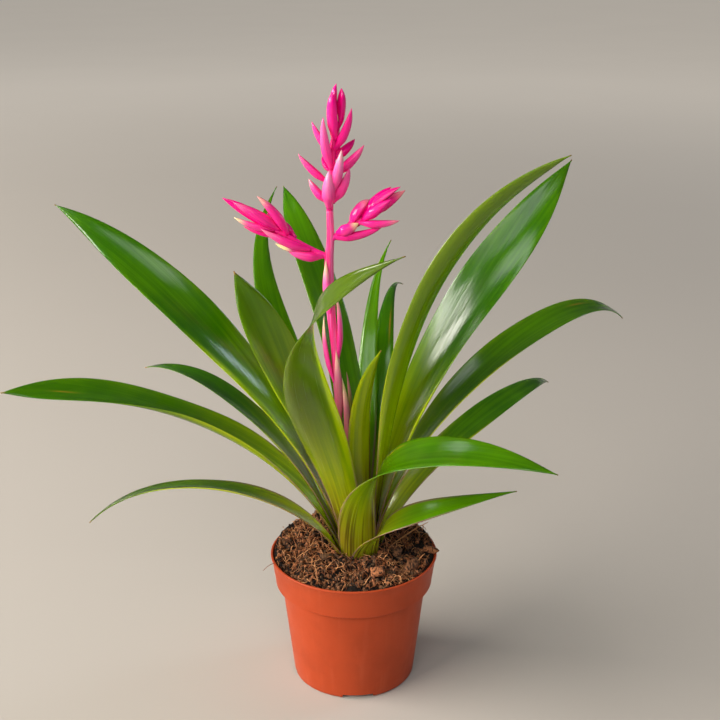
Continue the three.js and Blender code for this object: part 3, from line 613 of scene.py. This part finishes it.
def glossy_bract(tree, settings):
    """Bromeliad bract: smooth, fleshy and glossy, hot pink with faint lengthwise veins and a painted
    highlight of pale pink along the keel, some with cream tips."""
    blade = add(tree, "UVMap", uv_map="Blade")
    pale, cream, keel, papery = (
        add(tree, "Attribute", out="Fac", attribute_name=key) for key in ("pale", "cream", "keel", "papery")
    )
    # Veins are about 1 mm apart.
    fine = add(tree, "Mapping", {"Vector": blade, "Scale": (900, 30, 1)})
    veins = add(tree, "TexNoise", {"Vector": fine, "Scale": 1, "Detail": 2})
    # Share of pale pink: a painted highlight along the keel, over the bract's own paleness.
    light = add(tree, "Math", {0: keel, 1: 0.12, 2: pale}, operation="MULTIPLY_ADD", use_clamp=True)
    layers = (
        (pale, -0.5, 0.0, 1, settings.pink), (light, settings.pale), (veins, 0.5, 0.75, 0.35, settings.deep),
        (papery, settings.papery), (cream, settings.cream),
    )
    gloss = add(tree, "MapRange", {0: veins, 1: 0.3, 2: 0.7, 3: 0.09, 4: 0.17}, **SMOOTH)
    normal = add(tree, "Bump", {"Height": veins, "Distance": 0.1 * MM, "Strength": 0.5})
    inputs = {"Roughness": gloss, "IOR": 1.45, "Specular IOR Level": 0.45, "Normal": normal}
    inputs |= {"Subsurface Weight": 0.3, "Subsurface Radius": (1.0, 0.12, 0.7), "Subsurface Scale": 0.8 * MM}
    return settings.deep, layers, inputs


def fleshy_stalk(tree, settings):
    """Flower stalk: smooth and fleshy with long shallow ribs, pink above and brown-green where the leaves
    hide it."""
    position = add(tree, "TexCoord", out="Object")
    height = add(tree, "SeparateXYZ", {0: position}, 2)
    # Ribs are about 1.4 mm apart.
    long = add(tree, "Mapping", {"Vector": position, "Scale": (700, 700, 14)})
    ribs = add(tree, "TexNoise", {"Vector": long, "Scale": 1, "Detail": 2})
    gloss = add(tree, "MapRange", {0: ribs, 1: 0.3, 2: 0.7, 3: 0.32, 4: 0.44}, **SMOOTH)
    normal = add(tree, "Bump", {"Height": ribs, "Distance": 0.15 * MM, "Strength": 0.5})
    layers = (height, 0.19, 0.215, 1, settings.stalk), (ribs, 0.42, 0.65, 0.6, settings.pale)
    inputs = {"Roughness": gloss, "IOR": 1.45, "Normal": normal}
    return settings.papery, layers, inputs | {"Subsurface Weight": 0.15, "Subsurface Scale": 0.8 * MM}


def painted_floor(tree, settings):
    """Matt floor paint, rolled on: one pale tone with soft clouds half a metre wide. Far from the plant it
    glows a little, so that it stays pale up to the horizon."""
    position = add(tree, "TexCoord", out="Object")
    cloud = add(tree, "TexNoise", {"Vector": position, "Scale": 2, "Detail": 3})
    darker = tuple(c * 0.96 for c in settings.floor[:3]) + (1.0,)
    tone = add(tree, "Mix", {0: cloud, 6: settings.floor, 7: darker}, 2, **COLOUR)
    reach = add(tree, "VectorMath", {0: position}, "Value", operation="LENGTH")
    glow = add(tree, "MapRange", {0: reach, 1: 0.7, 2: 4, 4: 0.72}, **SMOOTH)
    return tone, (), {"Roughness": 0.9, "Emission Color": tone, "Emission Strength": glow}


# ---- pot -------------------------------------------------------------------------------------------


class BROMELIAD_OT_pot(bpy.types.Operator):
    """Build the moulded pot with its collar, bead and drain channels"""

    bl_idname = "bromeliad.pot"
    bl_label = "Pot"

    def execute(self, context):
        settings = context.scene.bromeliad_pot
        height, rim, foot = (getattr(settings, key) / MM for key in ("height", "rim_radius", "foot_radius"))
        wall, collar_foot = settings.wall / MM, height - settings.collar_height / MM
        taper, step_in, floor = 3.4, 4.4, 1.6  # the collar's taper, the step below it, the floor's thickness
        collar_radius = rim - taper
        step = collar_radius - step_in
        # From the middle of the underside up the outside, round the bead and down the inside to the floor.
        profile = np.array([
            (0, 0), (foot - 2.4, 0), (foot - 1.2, 0.25), (foot - 0.35, 0.9), (foot, 1.9),
            *self.line((foot, 1.9), (step, collar_foot - 1.6), 10),
            (step + 0.7, collar_foot - 1.2), (collar_radius - 0.6, collar_foot - 0.6),
            (collar_radius - 0.1, collar_foot - 0.2), (collar_radius + 0.05, collar_foot + 0.5),
            *self.line((collar_radius + 0.1, collar_foot + 1.5), (rim - 0.75, height - 1.9), 4),
            (rim - 0.55, height - 1.55), (rim - 0.15, height - 1.35), (rim, height - 1.0),
            (rim - 0.05, height - 0.45), (rim - 0.35, height - 0.1), (rim - 0.8, height),
            (rim - 1.4, height - 0.05), (rim - 1.75, height - 0.45),
            *self.line((rim - wall - 0.55, height - 1.4), (collar_radius - wall, collar_foot + wall), 4),
            (step - wall, collar_foot + wall - 1.2), (foot - wall, floor), (0, floor),
        ])
        angle = np.linspace(0, 2 * np.pi, 180, endpoint=False)
        ring = np.stack([np.cos(angle), np.sin(angle)], -1)
        # Each profile point is carried round the axis; the two poles close the body.
        inner = profile[1:-1]
        heights = np.repeat(inner[:, None, 1:], len(angle), 1)
        points = np.concatenate([inner[:, None, :1] * ring[None], heights], -1)
        piece = make_piece("pot_body", make_material(moulded_polypropylene, settings), tube(points))
        self.cut_drains(piece, foot)
        place(piece, "pot_plastic", "pot")
        return {"FINISHED"}

    def line(self, start, end, count):
        """Evenly spaced points from start to end."""
        t = np.linspace(0, 1, count)[:, None]
        return [tuple(p) for p in np.array(start) * (1 - t) + np.array(end) * t]

    def cut_drains(self, piece, foot):
        """Four channels across the underside reach out through the foot; a hole opens from each inwards."""
        start, width, height, length = 15, 22, 3, foot - 13  # of a channel, which starts off the middle
        hole_at, radius, depth = 31, 4.5 * MM, 14 * MM
        cutter = bmesh.new()
        for turn in range(4):
            channel = bmesh.ops.create_cube(cutter, size=1)["verts"]
            bmesh.ops.scale(cutter, vec=(length * MM, width * MM, 2 * height * MM), verts=channel)
            bmesh.ops.translate(cutter, vec=((start + length / 2) * MM, 0, 0), verts=channel)
            form = dict(cap_ends=True, segments=24, radius1=radius, radius2=radius, depth=depth)
            hole = bmesh.ops.create_cone(cutter, **form)["verts"]
            bmesh.ops.translate(cutter, vec=(hole_at * MM, 0, 0), verts=hole)
            spin = Matrix.Rotation(math.radians(4) + turn * math.pi / 2, 3, "Z")
            bmesh.ops.rotate(cutter, cent=(0, 0, 0), matrix=spin, verts=channel + hole)
        mesh = bpy.data.meshes.new("drain_cutter")
        cutter.to_mesh(mesh)
        cutter.free()
        tool = bpy.data.objects.new("drain_cutter", mesh)
        bpy.context.scene.collection.objects.link(tool)
        modifier = piece.modifiers.new("drains", "BOOLEAN")
        modifier.object = tool
        modifier.operation = "DIFFERENCE"
        modifier.solver = "EXACT"
        modifier.use_self = True
        evaluated = piece.evaluated_get(bpy.context.evaluated_depsgraph_get())
        cut = bpy.data.meshes.new_from_object(evaluated)
        cut.set_sharp_from_angle(angle=math.radians(35))
        piece.modifiers.clear()
        piece.data = cut
        bpy.data.objects.remove(tool)


# ---- soil ------------------------------------------------------------------------------------------


SOIL_HOLE, SOIL_EDGE = 20, 57.3  # radii of the mix's top in millimetres, at the crown and at the pot's wall


def soil_height(x, y):
    """Top of the mix: it rises in a smooth mound from the rim to the crown, leans back, is heaped up behind
    the crown, and has seeded lumps."""
    radius = np.hypot(x, y)
    behind = smooth((y / np.maximum(radius, 1) + 0.35) / 0.9) * smooth(radius / 40)
    mound = 94.4 + 5.5 * smooth((1 - radius / 60) * 1.7) + y / 60 * 1.2 + 5 * behind
    at = np.stack([x, y, np.zeros_like(x)], -1)
    lumps = 2.4 * noise(at, 9.0, 3) + 1.2 * noise(at, 3.5, 5)
    return mound + lumps * smooth((58 - radius) / 4) * smooth((np.hypot(x - CROWN[0], y) - 19) / 5)


class BROMELIAD_OT_soil(bpy.types.Operator):
    """Build the potting mix: the mound, its coir fibres, crumbs and bark chips"""

    bl_idname = "bromeliad.soil"
    bl_label = "Soil"

    def execute(self, context):
        settings = context.scene.bromeliad_soil
        random = np.random.default_rng(11)
        self.mound(settings)
        self.fibres(settings, random)
        self.chips(settings, random)
        return {"FINISHED"}

    def mound(self, settings):
        """Rings from the crown's hole out to the pot's wall and down inside it; height is soil_height."""
        angle = np.linspace(0, 2 * np.pi, 200, endpoint=False)
        cos, sin = np.cos(angle)[None], np.sin(angle)[None]
        radius = np.linspace(SOIL_HOLE, SOIL_EDGE, 60)[:, None]
        off = CROWN[0] * (1 - smooth((radius - SOIL_HOLE) / 30))
        x, y = radius * cos + off, radius * sin
        top = np.stack([x, y, soil_height(x, y)], -1)

        def ring(r, z, shift=0.0):
            return np.stack([r * cos[0] + shift, r * sin[0], np.full(len(angle), z)], -1)[None]

        hole = [ring(4.0, 93.4, CROWN[0]), ring(17.0, 93.6, CROWN[0])]
        side = [ring(57.6, 91), ring(54.6, 76), ring(50.3, 73.5), ring(42.8, 4.7)]
        points = np.concatenate([*hole, top, *side])[::-1]
        place(make_piece("soil_mound", make_material(moist_peat, settings), tube(points)), "soil", "soil")

    def scatter(self, random, count, low, high):
        """Seeded points spread evenly over the ring of soil between two radii."""
        radius = np.sqrt(random.uniform(low**2, high**2, count))
        angle = random.uniform(0, 2 * np.pi, count)
        return radius * np.cos(angle), radius * np.sin(angle)

    def fibres(self, settings, random):
        """Each fibre's heading turns at a steady seeded rate, its height follows the soil and lifts as an
        arch, and a three-sided section that thins towards both ends is carried along it."""
        count, steps = settings.fibres, 8
        x, y = self.scatter(random, count, 16, 56)
        heading = random.uniform(0, 2 * np.pi, count)
        curl = random.normal(0, 0.75, count)
        wobble = random.normal(0, 0.45, (count, steps))
        length = settings.fibre_length / MM * random.uniform(0.25, 1.0, count) ** 1.3
        stride = (length / (steps - 1))[:, None]
        direction = heading[:, None] + curl[:, None] * np.arange(steps) * 0.5 + np.cumsum(wobble, 1) * 0.6
        px = x[:, None] + np.cumsum(np.cos(direction) * stride, 1)
        py = y[:, None] + np.cumsum(np.sin(direction) * stride, 1)
        keep = np.minimum(1, 57 / np.maximum(np.hypot(px, py), 1e-6))
        px, py = px * keep, py * keep
        t = np.linspace(0, 1, steps)[None]
        arch = random.uniform(0.0, 1.7, count)[:, None] ** 1.6 * np.sin(np.pi * t)
        stand = random.exponential(1.1, count)[:, None] * t * (random.uniform(0, 1, count)[:, None] < 0.3)
        lift = arch + stand * 1.6 + random.uniform(-1.5, 1.0, count)[:, None]
        # The fibres pass under the larger chips.
        apart = np.hypot(px[..., None] - CHIPS[:, 0], py[..., None] - CHIPS[:, 1]) / (CHIPS[:, 3] + 1.5)
        lift = lift - 5 * (1 - smooth(apart - 0.4)).max(-1)
        pz = soil_height(px, py) + lift
        width = random.uniform(0.16, 0.42, count)
        patch = noise(np.stack([px[:, 0], py[:, 0], 0 * x], -1), 11.0, 23)
        # Tone: random, with random darker patches, and painted shade that darkens the fibres lying low among
        # the others and lightens the raised ones.
        shade = np.clip(random.beta(1.3, 1.7, count) + lift.mean(1) * 0.35 + 0.45 * patch - 0.42, 0, 1)
        strands, strand_width, strand_shade = zip(*STRANDS)
        strands = np.stack([spline(strand, t[0]) for strand in strands])
        paths = np.concatenate([np.stack([px, py, pz], -1), strands])
        width = np.append(width, strand_width)
        shade = np.append(shade, strand_shade)
        tangent = unit(np.gradient(paths, axis=1))
        side = unit(np.cross(tangent, [0, 0, 1.0]))
        rise = np.cross(tangent, side)
        taper = (width[:, None] * (0.45 + 0.55 * np.sin(np.pi * t)))[..., None, None]
        round_angle = np.arange(3) * 2 * np.pi / 3
        cos, sin = np.cos(round_angle)[:, None], np.sin(round_angle)[:, None]
        shape = many_tubes(paths[:, :, None] + (side[:, :, None] * cos + rise[:, :, None] * sin) * taper)
        masks = {"shade": np.repeat(shade, len(shape[0]) // len(paths))}
        place(make_piece("soil_fibres", make_material(coir_fibre, settings), shape, masks), "soil")

    def chips(self, settings, random):
        """Chips and crumbs are rounded boxes: a sphere's directions, each raised to a low power, scaled and
        turned, with seeded dents."""
        crumbs, chips = 900, 30
        count = crumbs + chips
        x, y = self.scatter(random, count, 21, 55)
        size = np.concatenate([
            random.uniform(0.5, 1.7, (crumbs, 3)),
            random.uniform((2.0, 1.3, 0.7), (4.5, 2.8, 1.5), (chips, 3)),
        ])
        turn = random.uniform(0, np.pi, count)
        shade = random.uniform(0, 1, count) ** 1.3
        placed = slice(count - len(CHIPS), count)
        x[placed], y[placed], size[placed], turn[placed], shade[placed] = (
            CHIPS[:, 0], CHIPS[:, 1], CHIPS[:, 2:5], CHIPS[:, 5], CHIPS[:, 6]
        )
        raised = size[:, 2] * 0.45
        raised[placed] = CHIPS[:, 7]
        polar = np.linspace(0.12, np.pi - 0.12, 6)[:, None]
        around = np.linspace(0, 2 * np.pi, 8, endpoint=False)[None]
        level = np.sin(polar)
        base = np.stack([level * np.cos(around), level * np.sin(around), np.cos(polar) + 0 * around], -1)
        boxy = np.sign(base) * np.abs(base) ** 0.55
        shape = boxy[None] * size[:, None, None]
        shape *= 1 + 0.2 * random.uniform(-1, 1, shape.shape[:3])[..., None]
        tilt = random.normal(0, 0.3, count)[:, None, None]
        shape[..., 2] += tilt * shape[..., 0]
        cos, sin = np.cos(turn)[:, None, None], np.sin(turn)[:, None, None]
        across = shape[..., 0] * cos - shape[..., 1] * sin + x[:, None, None]
        deep = shape[..., 0] * sin + shape[..., 1] * cos + y[:, None, None]
        height = shape[..., 2] + (soil_height(x, y) + raised)[:, None, None]
        points = np.stack([across, deep, height], -1)
        shape = many_tubes(points[:, ::-1])
        masks = {"shade": np.repeat(shade, len(shape[0]) // count)}
        place(make_piece("soil_bark", make_material(broken_pine_bark, settings), shape, masks), "soil")


# ---- leaves ----------------------------------------------------------------------------------------


def leaf_directions(leaf, s):
    """Direction of the midrib at share s, its side vector and its upper normal, from the blended angles."""
    turn, rise, roll = (np.radians(blend(leaf[key], s)) for key in ("turn", "rise", "roll"))
    along = np.stack([np.cos(rise) * np.cos(turn), np.cos(rise) * np.sin(turn), np.sin(rise)], -1)
    level = np.stack([-np.sin(turn), np.cos(turn), 0 * turn], -1)
    upper = np.cross(along, level)
    roll = roll[..., None]
    return along, level * np.cos(roll) + upper * np.sin(roll), upper * np.cos(roll) - level * np.sin(roll)


def leaf_shape(leaf, number, thickness, margin):
    """The midrib is the running sum of its direction. Across it lies an arc: about the crown where the
    sheath wraps it, then of the channel's radius. The outer face is the arc pushed out by a thickness that
    falls towards the margins, and the free margins wave slightly."""
    rows, columns, fine = 150, 27, 1500
    sheath, broad = 0.3, 0.45  # the shares along at which the blade is free and at its full width
    waves, ripple_height = (17, 21), 0.55  # of the free margins, in millimetres
    length, width = leaf["size"]
    foot_share, point = leaf["outline"]
    shell = leaf["shell"]
    t = (np.arange(fine) + 0.5) / fine
    steps = np.cumsum(leaf_directions(leaf, t)[0], 0) * length / fine
    foot_turn = math.radians(leaf["turn"][0])
    outward = np.array([math.cos(foot_turn), math.sin(foot_turn), 0])
    track = np.vstack([[0, 0, 0], steps]) + CROWN + shell * outward
    s = np.linspace(0, 1, rows) ** 0.95
    at = s * fine
    midrib = np.stack([np.interp(at, np.arange(fine + 1), track[:, axis]) for axis in range(3)], -1)
    _, side, normal = leaf_directions(leaf, s)
    free = smooth(s / sheath)[:, None]
    lean = ((midrib - midrib[0]) @ outward)[:, None]
    bend = (1 - free) / np.maximum(shell + lean, shell) + free / leaf["channel"]
    hollow = unit(outward * (free - 1) + normal * free)
    swell = foot_share + (1 - foot_share) * smooth(s / broad)
    half = np.maximum(width / 2 * swell * np.maximum(1 - s**point, 0) ** 1.15, 0.35)[:, None]
    even = np.linspace(-1, 1, columns)[None]
    u = np.sin(even * np.pi / 2) * 0.6 + even * 0.4
    angle = half * bend * u
    loose = smooth((s - 0.4) / 0.25)[:, None] * smooth((1 - s) / 0.08)[:, None]
    starts = number, 2.4 * number
    right, left = (np.sin(s[:, None] * length / wave + start) for wave, start in zip(waves, starts))
    ripple = ripple_height * loose * np.where(u > 0, right, left) * np.abs(u) ** 3
    body = margin + (thickness - margin) * (1 - np.abs(u) ** 4)
    faces = []
    for depth in (0 * body, body):
        radius = 1 / bend + depth
        faces.append(
            midrib[:, None]
            + side[:, None] * (radius * np.sin(angle))[..., None]
            + hollow[:, None] * (1 / bend - radius * np.cos(angle) + ripple)[..., None]
        )
    points = np.concatenate([faces[0], faces[1][:, ::-1]], 1)
    across = np.concatenate([u, u[:, ::-1]], 1) + 0 * s[:, None]
    under = np.concatenate([0 * u, 1 + 0 * u], 1) + 0 * s[:, None]
    return points, s, across, under, half


def leaf_masks(leaf, number, s, across, under, half):
    """Painted shares from 0 to 1 on the leaf: how young (with the lit margin band, partly painted light),
    striped, papery, scarred and dry each point is.
    """
    stripes, margins, rim = (22, 72), (70, 50), 1.9  # where they start to fade, over how much, and the rim
    length = leaf["size"][0]
    far = (s * length)[:, None] + 0 * across
    at = np.stack([across * half * 0.6, far * 0.05, 0 * far + number * 7.0], -1)
    ragged = noise(at, 1.6, 17)
    young = 1 - smooth((far + 9 * ragged) / leaf["young"] * 0.8 - 0.25)
    # The lit margin band along one margin narrows evenly from the foot to its end. It carries the base's
    # yellow-green up that margin, partly as painted light.
    side, until, breadth = leaf["band"]
    share = far / length
    band = smooth((side * across - 1 + breadth * (1 - share / until)) / 0.3 + 0.6)
    young = np.maximum(young, band * (1 - smooth(share / until * 4 - 3)))
    stripe, margin = (1 - smooth((far - start) / fade) for start, fade in (stripes, margins))
    stripe = stripe * (0.35 + 0.65 * under) * (0.7 + 0.3 * np.abs(across))
    margin = smooth((np.abs(across) * half - half + rim) / 1.3) * margin * 0.9
    mark = 0 * far
    for place_along, place_across, mark_length, mark_width, strength in leaf["marks"]:
        along = (far - place_along * length) / mark_length
        aside = (across - place_across) * half / mark_width
        mark = np.maximum(mark, strength * np.exp(-(along**2) - aside**2) * (0.7 + 0.3 * ragged))
    dry = smooth((far - length + leaf["dry"] * (1 + 0.4 * ragged)) / leaf["dry"] * 1.3)
    roll = np.abs(across) ** 5 * smooth((far / length - 0.12) / 0.2)
    masks = {"young": young, "stripe": stripe, "margin": margin, "mark": mark}
    return masks | {"dry": dry, "under": under, "roll": roll}


class BROMELIAD_OT_leaves(bpy.types.Operator):
    """Build the rosette, one strap leaf at a time"""

    bl_idname = "bromeliad.leaves"
    bl_label = "Leaves"

    def execute(self, context):
        settings = context.scene.bromeliad_leaves
        material = make_material(waxy_leaf, settings)
        thickness, margin = settings.thickness / MM, settings.margin / MM
        for number, (name, own) in enumerate(LEAVES.items()):
            leaf = LEAF_USUAL | own
            points, s, across, under, half = leaf_shape(leaf, number, thickness, margin)
            masks = leaf_masks(leaf, number, s, across, under, half)
            masks |= {key: np.full(across.shape, leaf[key]) for key in ("dark", "olive")}
            masks = {key: self.with_ends(value[:, ::-1]) for key, value in masks.items()}
            far = self.with_ends((s * leaf["size"][0])[:, None] + 0 * across)
            aside = self.with_ends((across * half)[:, ::-1]) + 60 * number
            uv = np.stack([aside, far], -1) * MM
            piece = make_piece(f"leaf_{name}_blade", material, tube(points[:, ::-1]), masks, uv)
            place(piece, "leaf", f"leaf_{name}")
        return {"FINISHED"}

    def with_ends(self, values):
        """The values of a grid, then one for each end cap."""
        return np.concatenate([values.ravel(), [values[0].mean(), values[-1].mean()]])


# ---- flower ----------------------------------------------------------------------------------------


def stem_points(path, radii, rings, count):
    """A circle whose radius is blended from the given ones, carried along a smooth curve through points."""
    t = np.linspace(0, 1, rings)
    centre = spline(path, t)
    tangent = unit(np.gradient(centre, axis=0))
    side = unit(np.cross(tangent, [0, -1.0, 0]))
    out = np.cross(tangent, side)
    radius = np.interp(t * (len(radii) - 1), np.arange(len(radii)), radii)[:, None, None]
    angle = np.linspace(0, 2 * np.pi, count, endpoint=False)
    ring = side[:, None] * np.cos(angle)[None, :, None] + out[:, None] * np.sin(angle)[None, :, None]
    return centre[:, None] + ring * radius


def bract_points(root, tip, width, point, depth, axis):
    """A boat-shaped scale: its midline is a parabola that bows outward, its half width swells from the root
    and closes to a point, and its section is a keeled oval, deep outside and shallow inside."""
    rings, count = 22, 20
    span = tip - root
    outward = unit(span - axis * (span @ axis))
    middle = (root + tip) / 2 + outward * np.linalg.norm(span) * 0.09
    t = np.linspace(0, 1, rings)[:, None]
    centre = root * (1 - t) ** 2 + 2 * middle * t * (1 - t) + tip * t**2
    tangent = unit(2 * (middle - root) * (1 - t) + 2 * (tip - middle) * t)
    keel = unit(outward - span * (outward @ span) / (span @ span))
    side = unit(np.cross(keel, tangent))
    out = np.cross(tangent, side)
    half = np.maximum(width / 2 * (0.45 + 0.55 * smooth(t / 0.35)) * (1 - t**point), 0.12)
    angle = np.linspace(0, 2 * np.pi, count, endpoint=False)[None]
    off_keel = np.abs(angle - np.pi / 2 - np.pi * (angle > 1.5 * np.pi))
    crease = 1 - 0.1 * np.exp(-(((off_keel - 1.3) / 0.22) ** 2))
    rise = np.sin(angle)
    away = half * depth * np.where(rise > 0, 1.08 * rise - 0.1, 0.42 * rise - 0.1)
    across = half * np.cos(angle) * crease
    points = centre[:, None] + side[:, None] * across[..., None] + out[:, None] * away[..., None]
    # Mask of the painted highlight along the keel: the outer ridge, fading in near the root.
    keel_highlight = np.clip(rise, 0, 1) ** 6 * smooth(t / 0.2)
    return points, np.linalg.norm(span), t, angle, keel_highlight


def fused(parts):
    """Joins bodies into one shape, with their attributes and coordinates in the same order."""
    shapes = [tube(points) for points, _, _ in parts]
    offsets = np.cumsum([0] + [len(shape[0]) for shape in shapes])
    vertices, quads, triangles = (
        np.vstack([shape[i] + (low if i else 0) for shape, low in zip(shapes, offsets)]) for i in range(3)
    )
    masks, uvs = {}, []
    for points, attributes, uv in parts:
        for key, values in attributes.items():
            full = np.broadcast_to(values, points.shape[:2])
            masks.setdefault(key, []).extend([full.ravel(), [full[0].mean(), full[-1].mean()]])
        flat = uv.reshape(-1, 2)
        uvs += [flat, flat[:1], flat[-1:]]
    masks = {key: np.concatenate(row) for key, row in masks.items()}
    return (vertices, quads, triangles), masks, np.vstack(uvs)


def bract_part(form, axis, pale, cream, papery, number):
    """A bract with its painted shares; the cream is on its outer quarter."""
    width = form[2]
    points, span, t, angle, keel_highlight = bract_points(*form, axis)
    masks = {
        # A bract's paleness is partly its own colour and partly painted light; below 0 it deepens towards the
        # shaded pink as painted shade.
        "pale": pale * np.where(pale > 0, 0.3 + 0.9 * smooth((t - 0.25) / 0.6), 1) + 0 * keel_highlight,
        "cream": cream * smooth((t - 0.62 + 0.3 * (cream > 0.9)) / 0.3) + 0 * keel_highlight,
        "keel": keel_highlight,
        "papery": papery * (1 - 0.5 * smooth((t - 0.5) / 0.4)) + 0 * keel_highlight,
    }
    uv = np.stack([angle * width * 0.5 + 30 * number + 0 * t, t * span + 0 * angle], -1) * MM
    return points, masks, uv


class BROMELIAD_OT_stalk(bpy.types.Operator):
    """Build the flower stalk and the thin bracts that wrap it"""

    bl_idname = "bromeliad.stalk"
    bl_label = "Stalk"

    def execute(self, context):
        settings = context.scene.bromeliad_flower
        shape = tube(stem_points(STALK_PATH, STALK_RADII, 110, 20))
        stem = make_piece("flower_stalk_stem", make_material(fleshy_stalk, settings), shape)
        place(stem, "stalk", "flower_stalk")
        line = spline(STALK_PATH, np.linspace(0, 1, 400))
        parts = []
        for number, (low, length, side, flare, papery, cream) in enumerate(WRAPS):
            out = np.array([math.cos(math.radians(side)), math.sin(math.radians(side)), 0])
            root = line[np.argmin(np.abs(line[:, 2] - low))] + 0.8 * out
            tip = line[np.argmin(np.abs(line[:, 2] - low - length))] + flare * out
            axis = unit(tip - root - flare * out)
            parts.append(bract_part((root, tip, 7, 3.4, 0.72), axis, 0.5, cream, papery, number))
        material = make_material(glossy_bract, settings)
        place(make_piece("flower_stalk_bracts", material, *fused(parts)), "stalk")
        return {"FINISHED"}


class BROMELIAD_OT_sprays(bpy.types.Operator):
    """Build the three flower sprays with their bracts and petals"""

    bl_idname = "bromeliad.sprays"
    bl_label = "Flower sprays"

    def execute(self, context):
        settings = context.scene.bromeliad_flower
        material = make_material(glossy_bract, settings)
        for name, spray in SPRAYS.items():
            root = np.array(spray["root"], float)
            stem = np.array(spray["stem"], float)
            middle = spline(stem, np.array([0.49, 0.51]))
            axis = unit(middle[1] - middle[0])
            points = stem_points(stem, spray["radii"], 30, 14) + root
            masks = {"pale": 0.1, "cream": 0.0, "keel": 0.0, "papery": 0.0}
            around, along = np.meshgrid(np.arange(14) * 1.0, np.arange(30) * 1.5)
            parts = [(points, masks, np.stack([around, along], -1) * MM)]
            for number, (low, tip, width, point, pale, cream) in enumerate(spray["bracts"]):
                form = (root + low, root + tip, width, point, 0.96)
                parts.append(bract_part(form, axis, pale, cream, 0.0, number + 1))
            piece = make_piece(f"flower_spray_{name}_bracts", material, *fused(parts))
            place(piece, "bract", f"flower_spray_{name}")
        return {"FINISHED"}


# ---- stage -----------------------------------------------------------------------------------------


class BROMELIAD_OT_stage(bpy.types.Operator):
    """Lay the floor and set up the light and the camera"""

    bl_idname = "bromeliad.stage"
    bl_label = "Stage"

    def execute(self, context):
        settings = context.scene.bromeliad_stage
        reach, low = 40000, -0.2  # millimetres from the middle to each edge, and just under the pot
        corners = np.array([(x * reach, y * reach, low) for x, y in ((-1, -1), (1, -1), (1, 1), (-1, 1))])
        shape = corners, np.array([(0, 1, 2, 3)]), np.zeros((0, 3), int)
        floor = make_piece("floor", make_material(painted_floor, settings), shape)
        world = bpy.data.worlds.new("studio")
        context.scene.world = world
        world.use_nodes = True
        background = world.node_tree.nodes["Background"]
        background.inputs["Color"].default_value = linear("#CFCBC6")
        # The light is pale at the horizon, where the floor ends, and dim above it.
        way = add(world.node_tree, "TexCoord", out="Generated")
        height = add(world.node_tree, "SeparateXYZ", {0: way}, 2)
        glow = add(world.node_tree, "MapRange", {0: height, 1: 0.05, 2: 0.25, 3: 0.55, 4: 0.12}, **SMOOTH)
        world.node_tree.links.new(glow, background.inputs["Strength"])
        # Soft boxes: a long flat one at the left and a little in front, a weak one over the camera, a faint
        # one high at the left, and a cool window at the right and a little behind.
        boxes = (
            ("key_light", (-2.62, -0.8, 1.42), (3.4, 0.8), 1, "#FFF8F0"),
            ("front_light", (-0.3, -2.5, 2.1), (2.4, 1.6), 0.22, "#FFFFFF"),
            ("top_light", (-1.7, 0, 2.3), (1.6, 1.0), 0.1, "#FFFFFF"),
            ("right_light", (2.65, 1.15, 1.55), (0.7, 1.1), 0.1, "#DCEAFF"),
        )
        for name, location, size, share, colour in boxes:
            self.soft_box(name, location, size, settings.key_power * share, colour)
        camera = bpy.data.objects.new("camera", bpy.data.cameras.new("camera"))
        camera.data.lens = settings.lens
        camera.data.sensor_width = 36
        camera.location = (0.0045, -0.7732, 0.5167)
        camera.rotation_euler = (math.pi / 2 - settings.pitch, 0, 0)
        context.scene.collection.objects.link(camera)
        context.scene.camera = camera
        context.scene.view_settings.view_transform = "Standard"
        return {"FINISHED"}

    def soft_box(self, name, location, size, power, colour):
        """An area light that faces the middle of the plant."""
        light = bpy.data.lights.new(name, "AREA")
        light.shape = "RECTANGLE"
        light.size, light.size_y = size
        light.energy = power
        light.color = linear(colour)[:3]
        box = bpy.data.objects.new(name, light)
        bpy.context.scene.collection.objects.link(box)
        away = np.array(location) - (0, 0, 0.2)
        box.location = location
        box.rotation_euler = (math.acos(away[2] / np.linalg.norm(away)), 0, math.atan2(away[0], -away[1]))


# ---- panel and start -------------------------------------------------------------------------------


OPERATORS = (
    BROMELIAD_OT_pot,
    BROMELIAD_OT_soil,
    BROMELIAD_OT_leaves,
    BROMELIAD_OT_stalk,
    BROMELIAD_OT_sprays,
    BROMELIAD_OT_stage,
)


class BROMELIAD_PT_panel(bpy.types.Panel):
    """Buttons that build each group of pieces, with their sizes and colours."""

    bl_label = "Potted bromeliad"
    bl_idname = "BROMELIAD_PT_panel"
    bl_space_type = "VIEW_3D"
    bl_region_type = "UI"
    bl_category = "Bromeliad"

    def draw(self, context):
        for operator in OPERATORS:
            self.layout.operator(operator.bl_idname)
        for key, group in SETTINGS.items():
            box = self.layout.box()
            for name in group.__annotations__:
                box.prop(getattr(context.scene, key), name)


CLASSES = (*SETTINGS.values(), *OPERATORS, BROMELIAD_PT_panel)


def register():
    for cls in CLASSES:
        bpy.utils.register_class(cls)
    for key, group in SETTINGS.items():
        setattr(bpy.types.Scene, key, bpy.props.PointerProperty(type=group))


def unregister():
    for key in SETTINGS:
        delattr(bpy.types.Scene, key)
    for cls in reversed(CLASSES):
        bpy.utils.unregister_class(cls)


def main():
    register()
    for operator in OPERATORS:
        getattr(bpy.ops.bromeliad, operator.bl_idname.split(".")[1])()


if __name__ == "__main__":
    main()
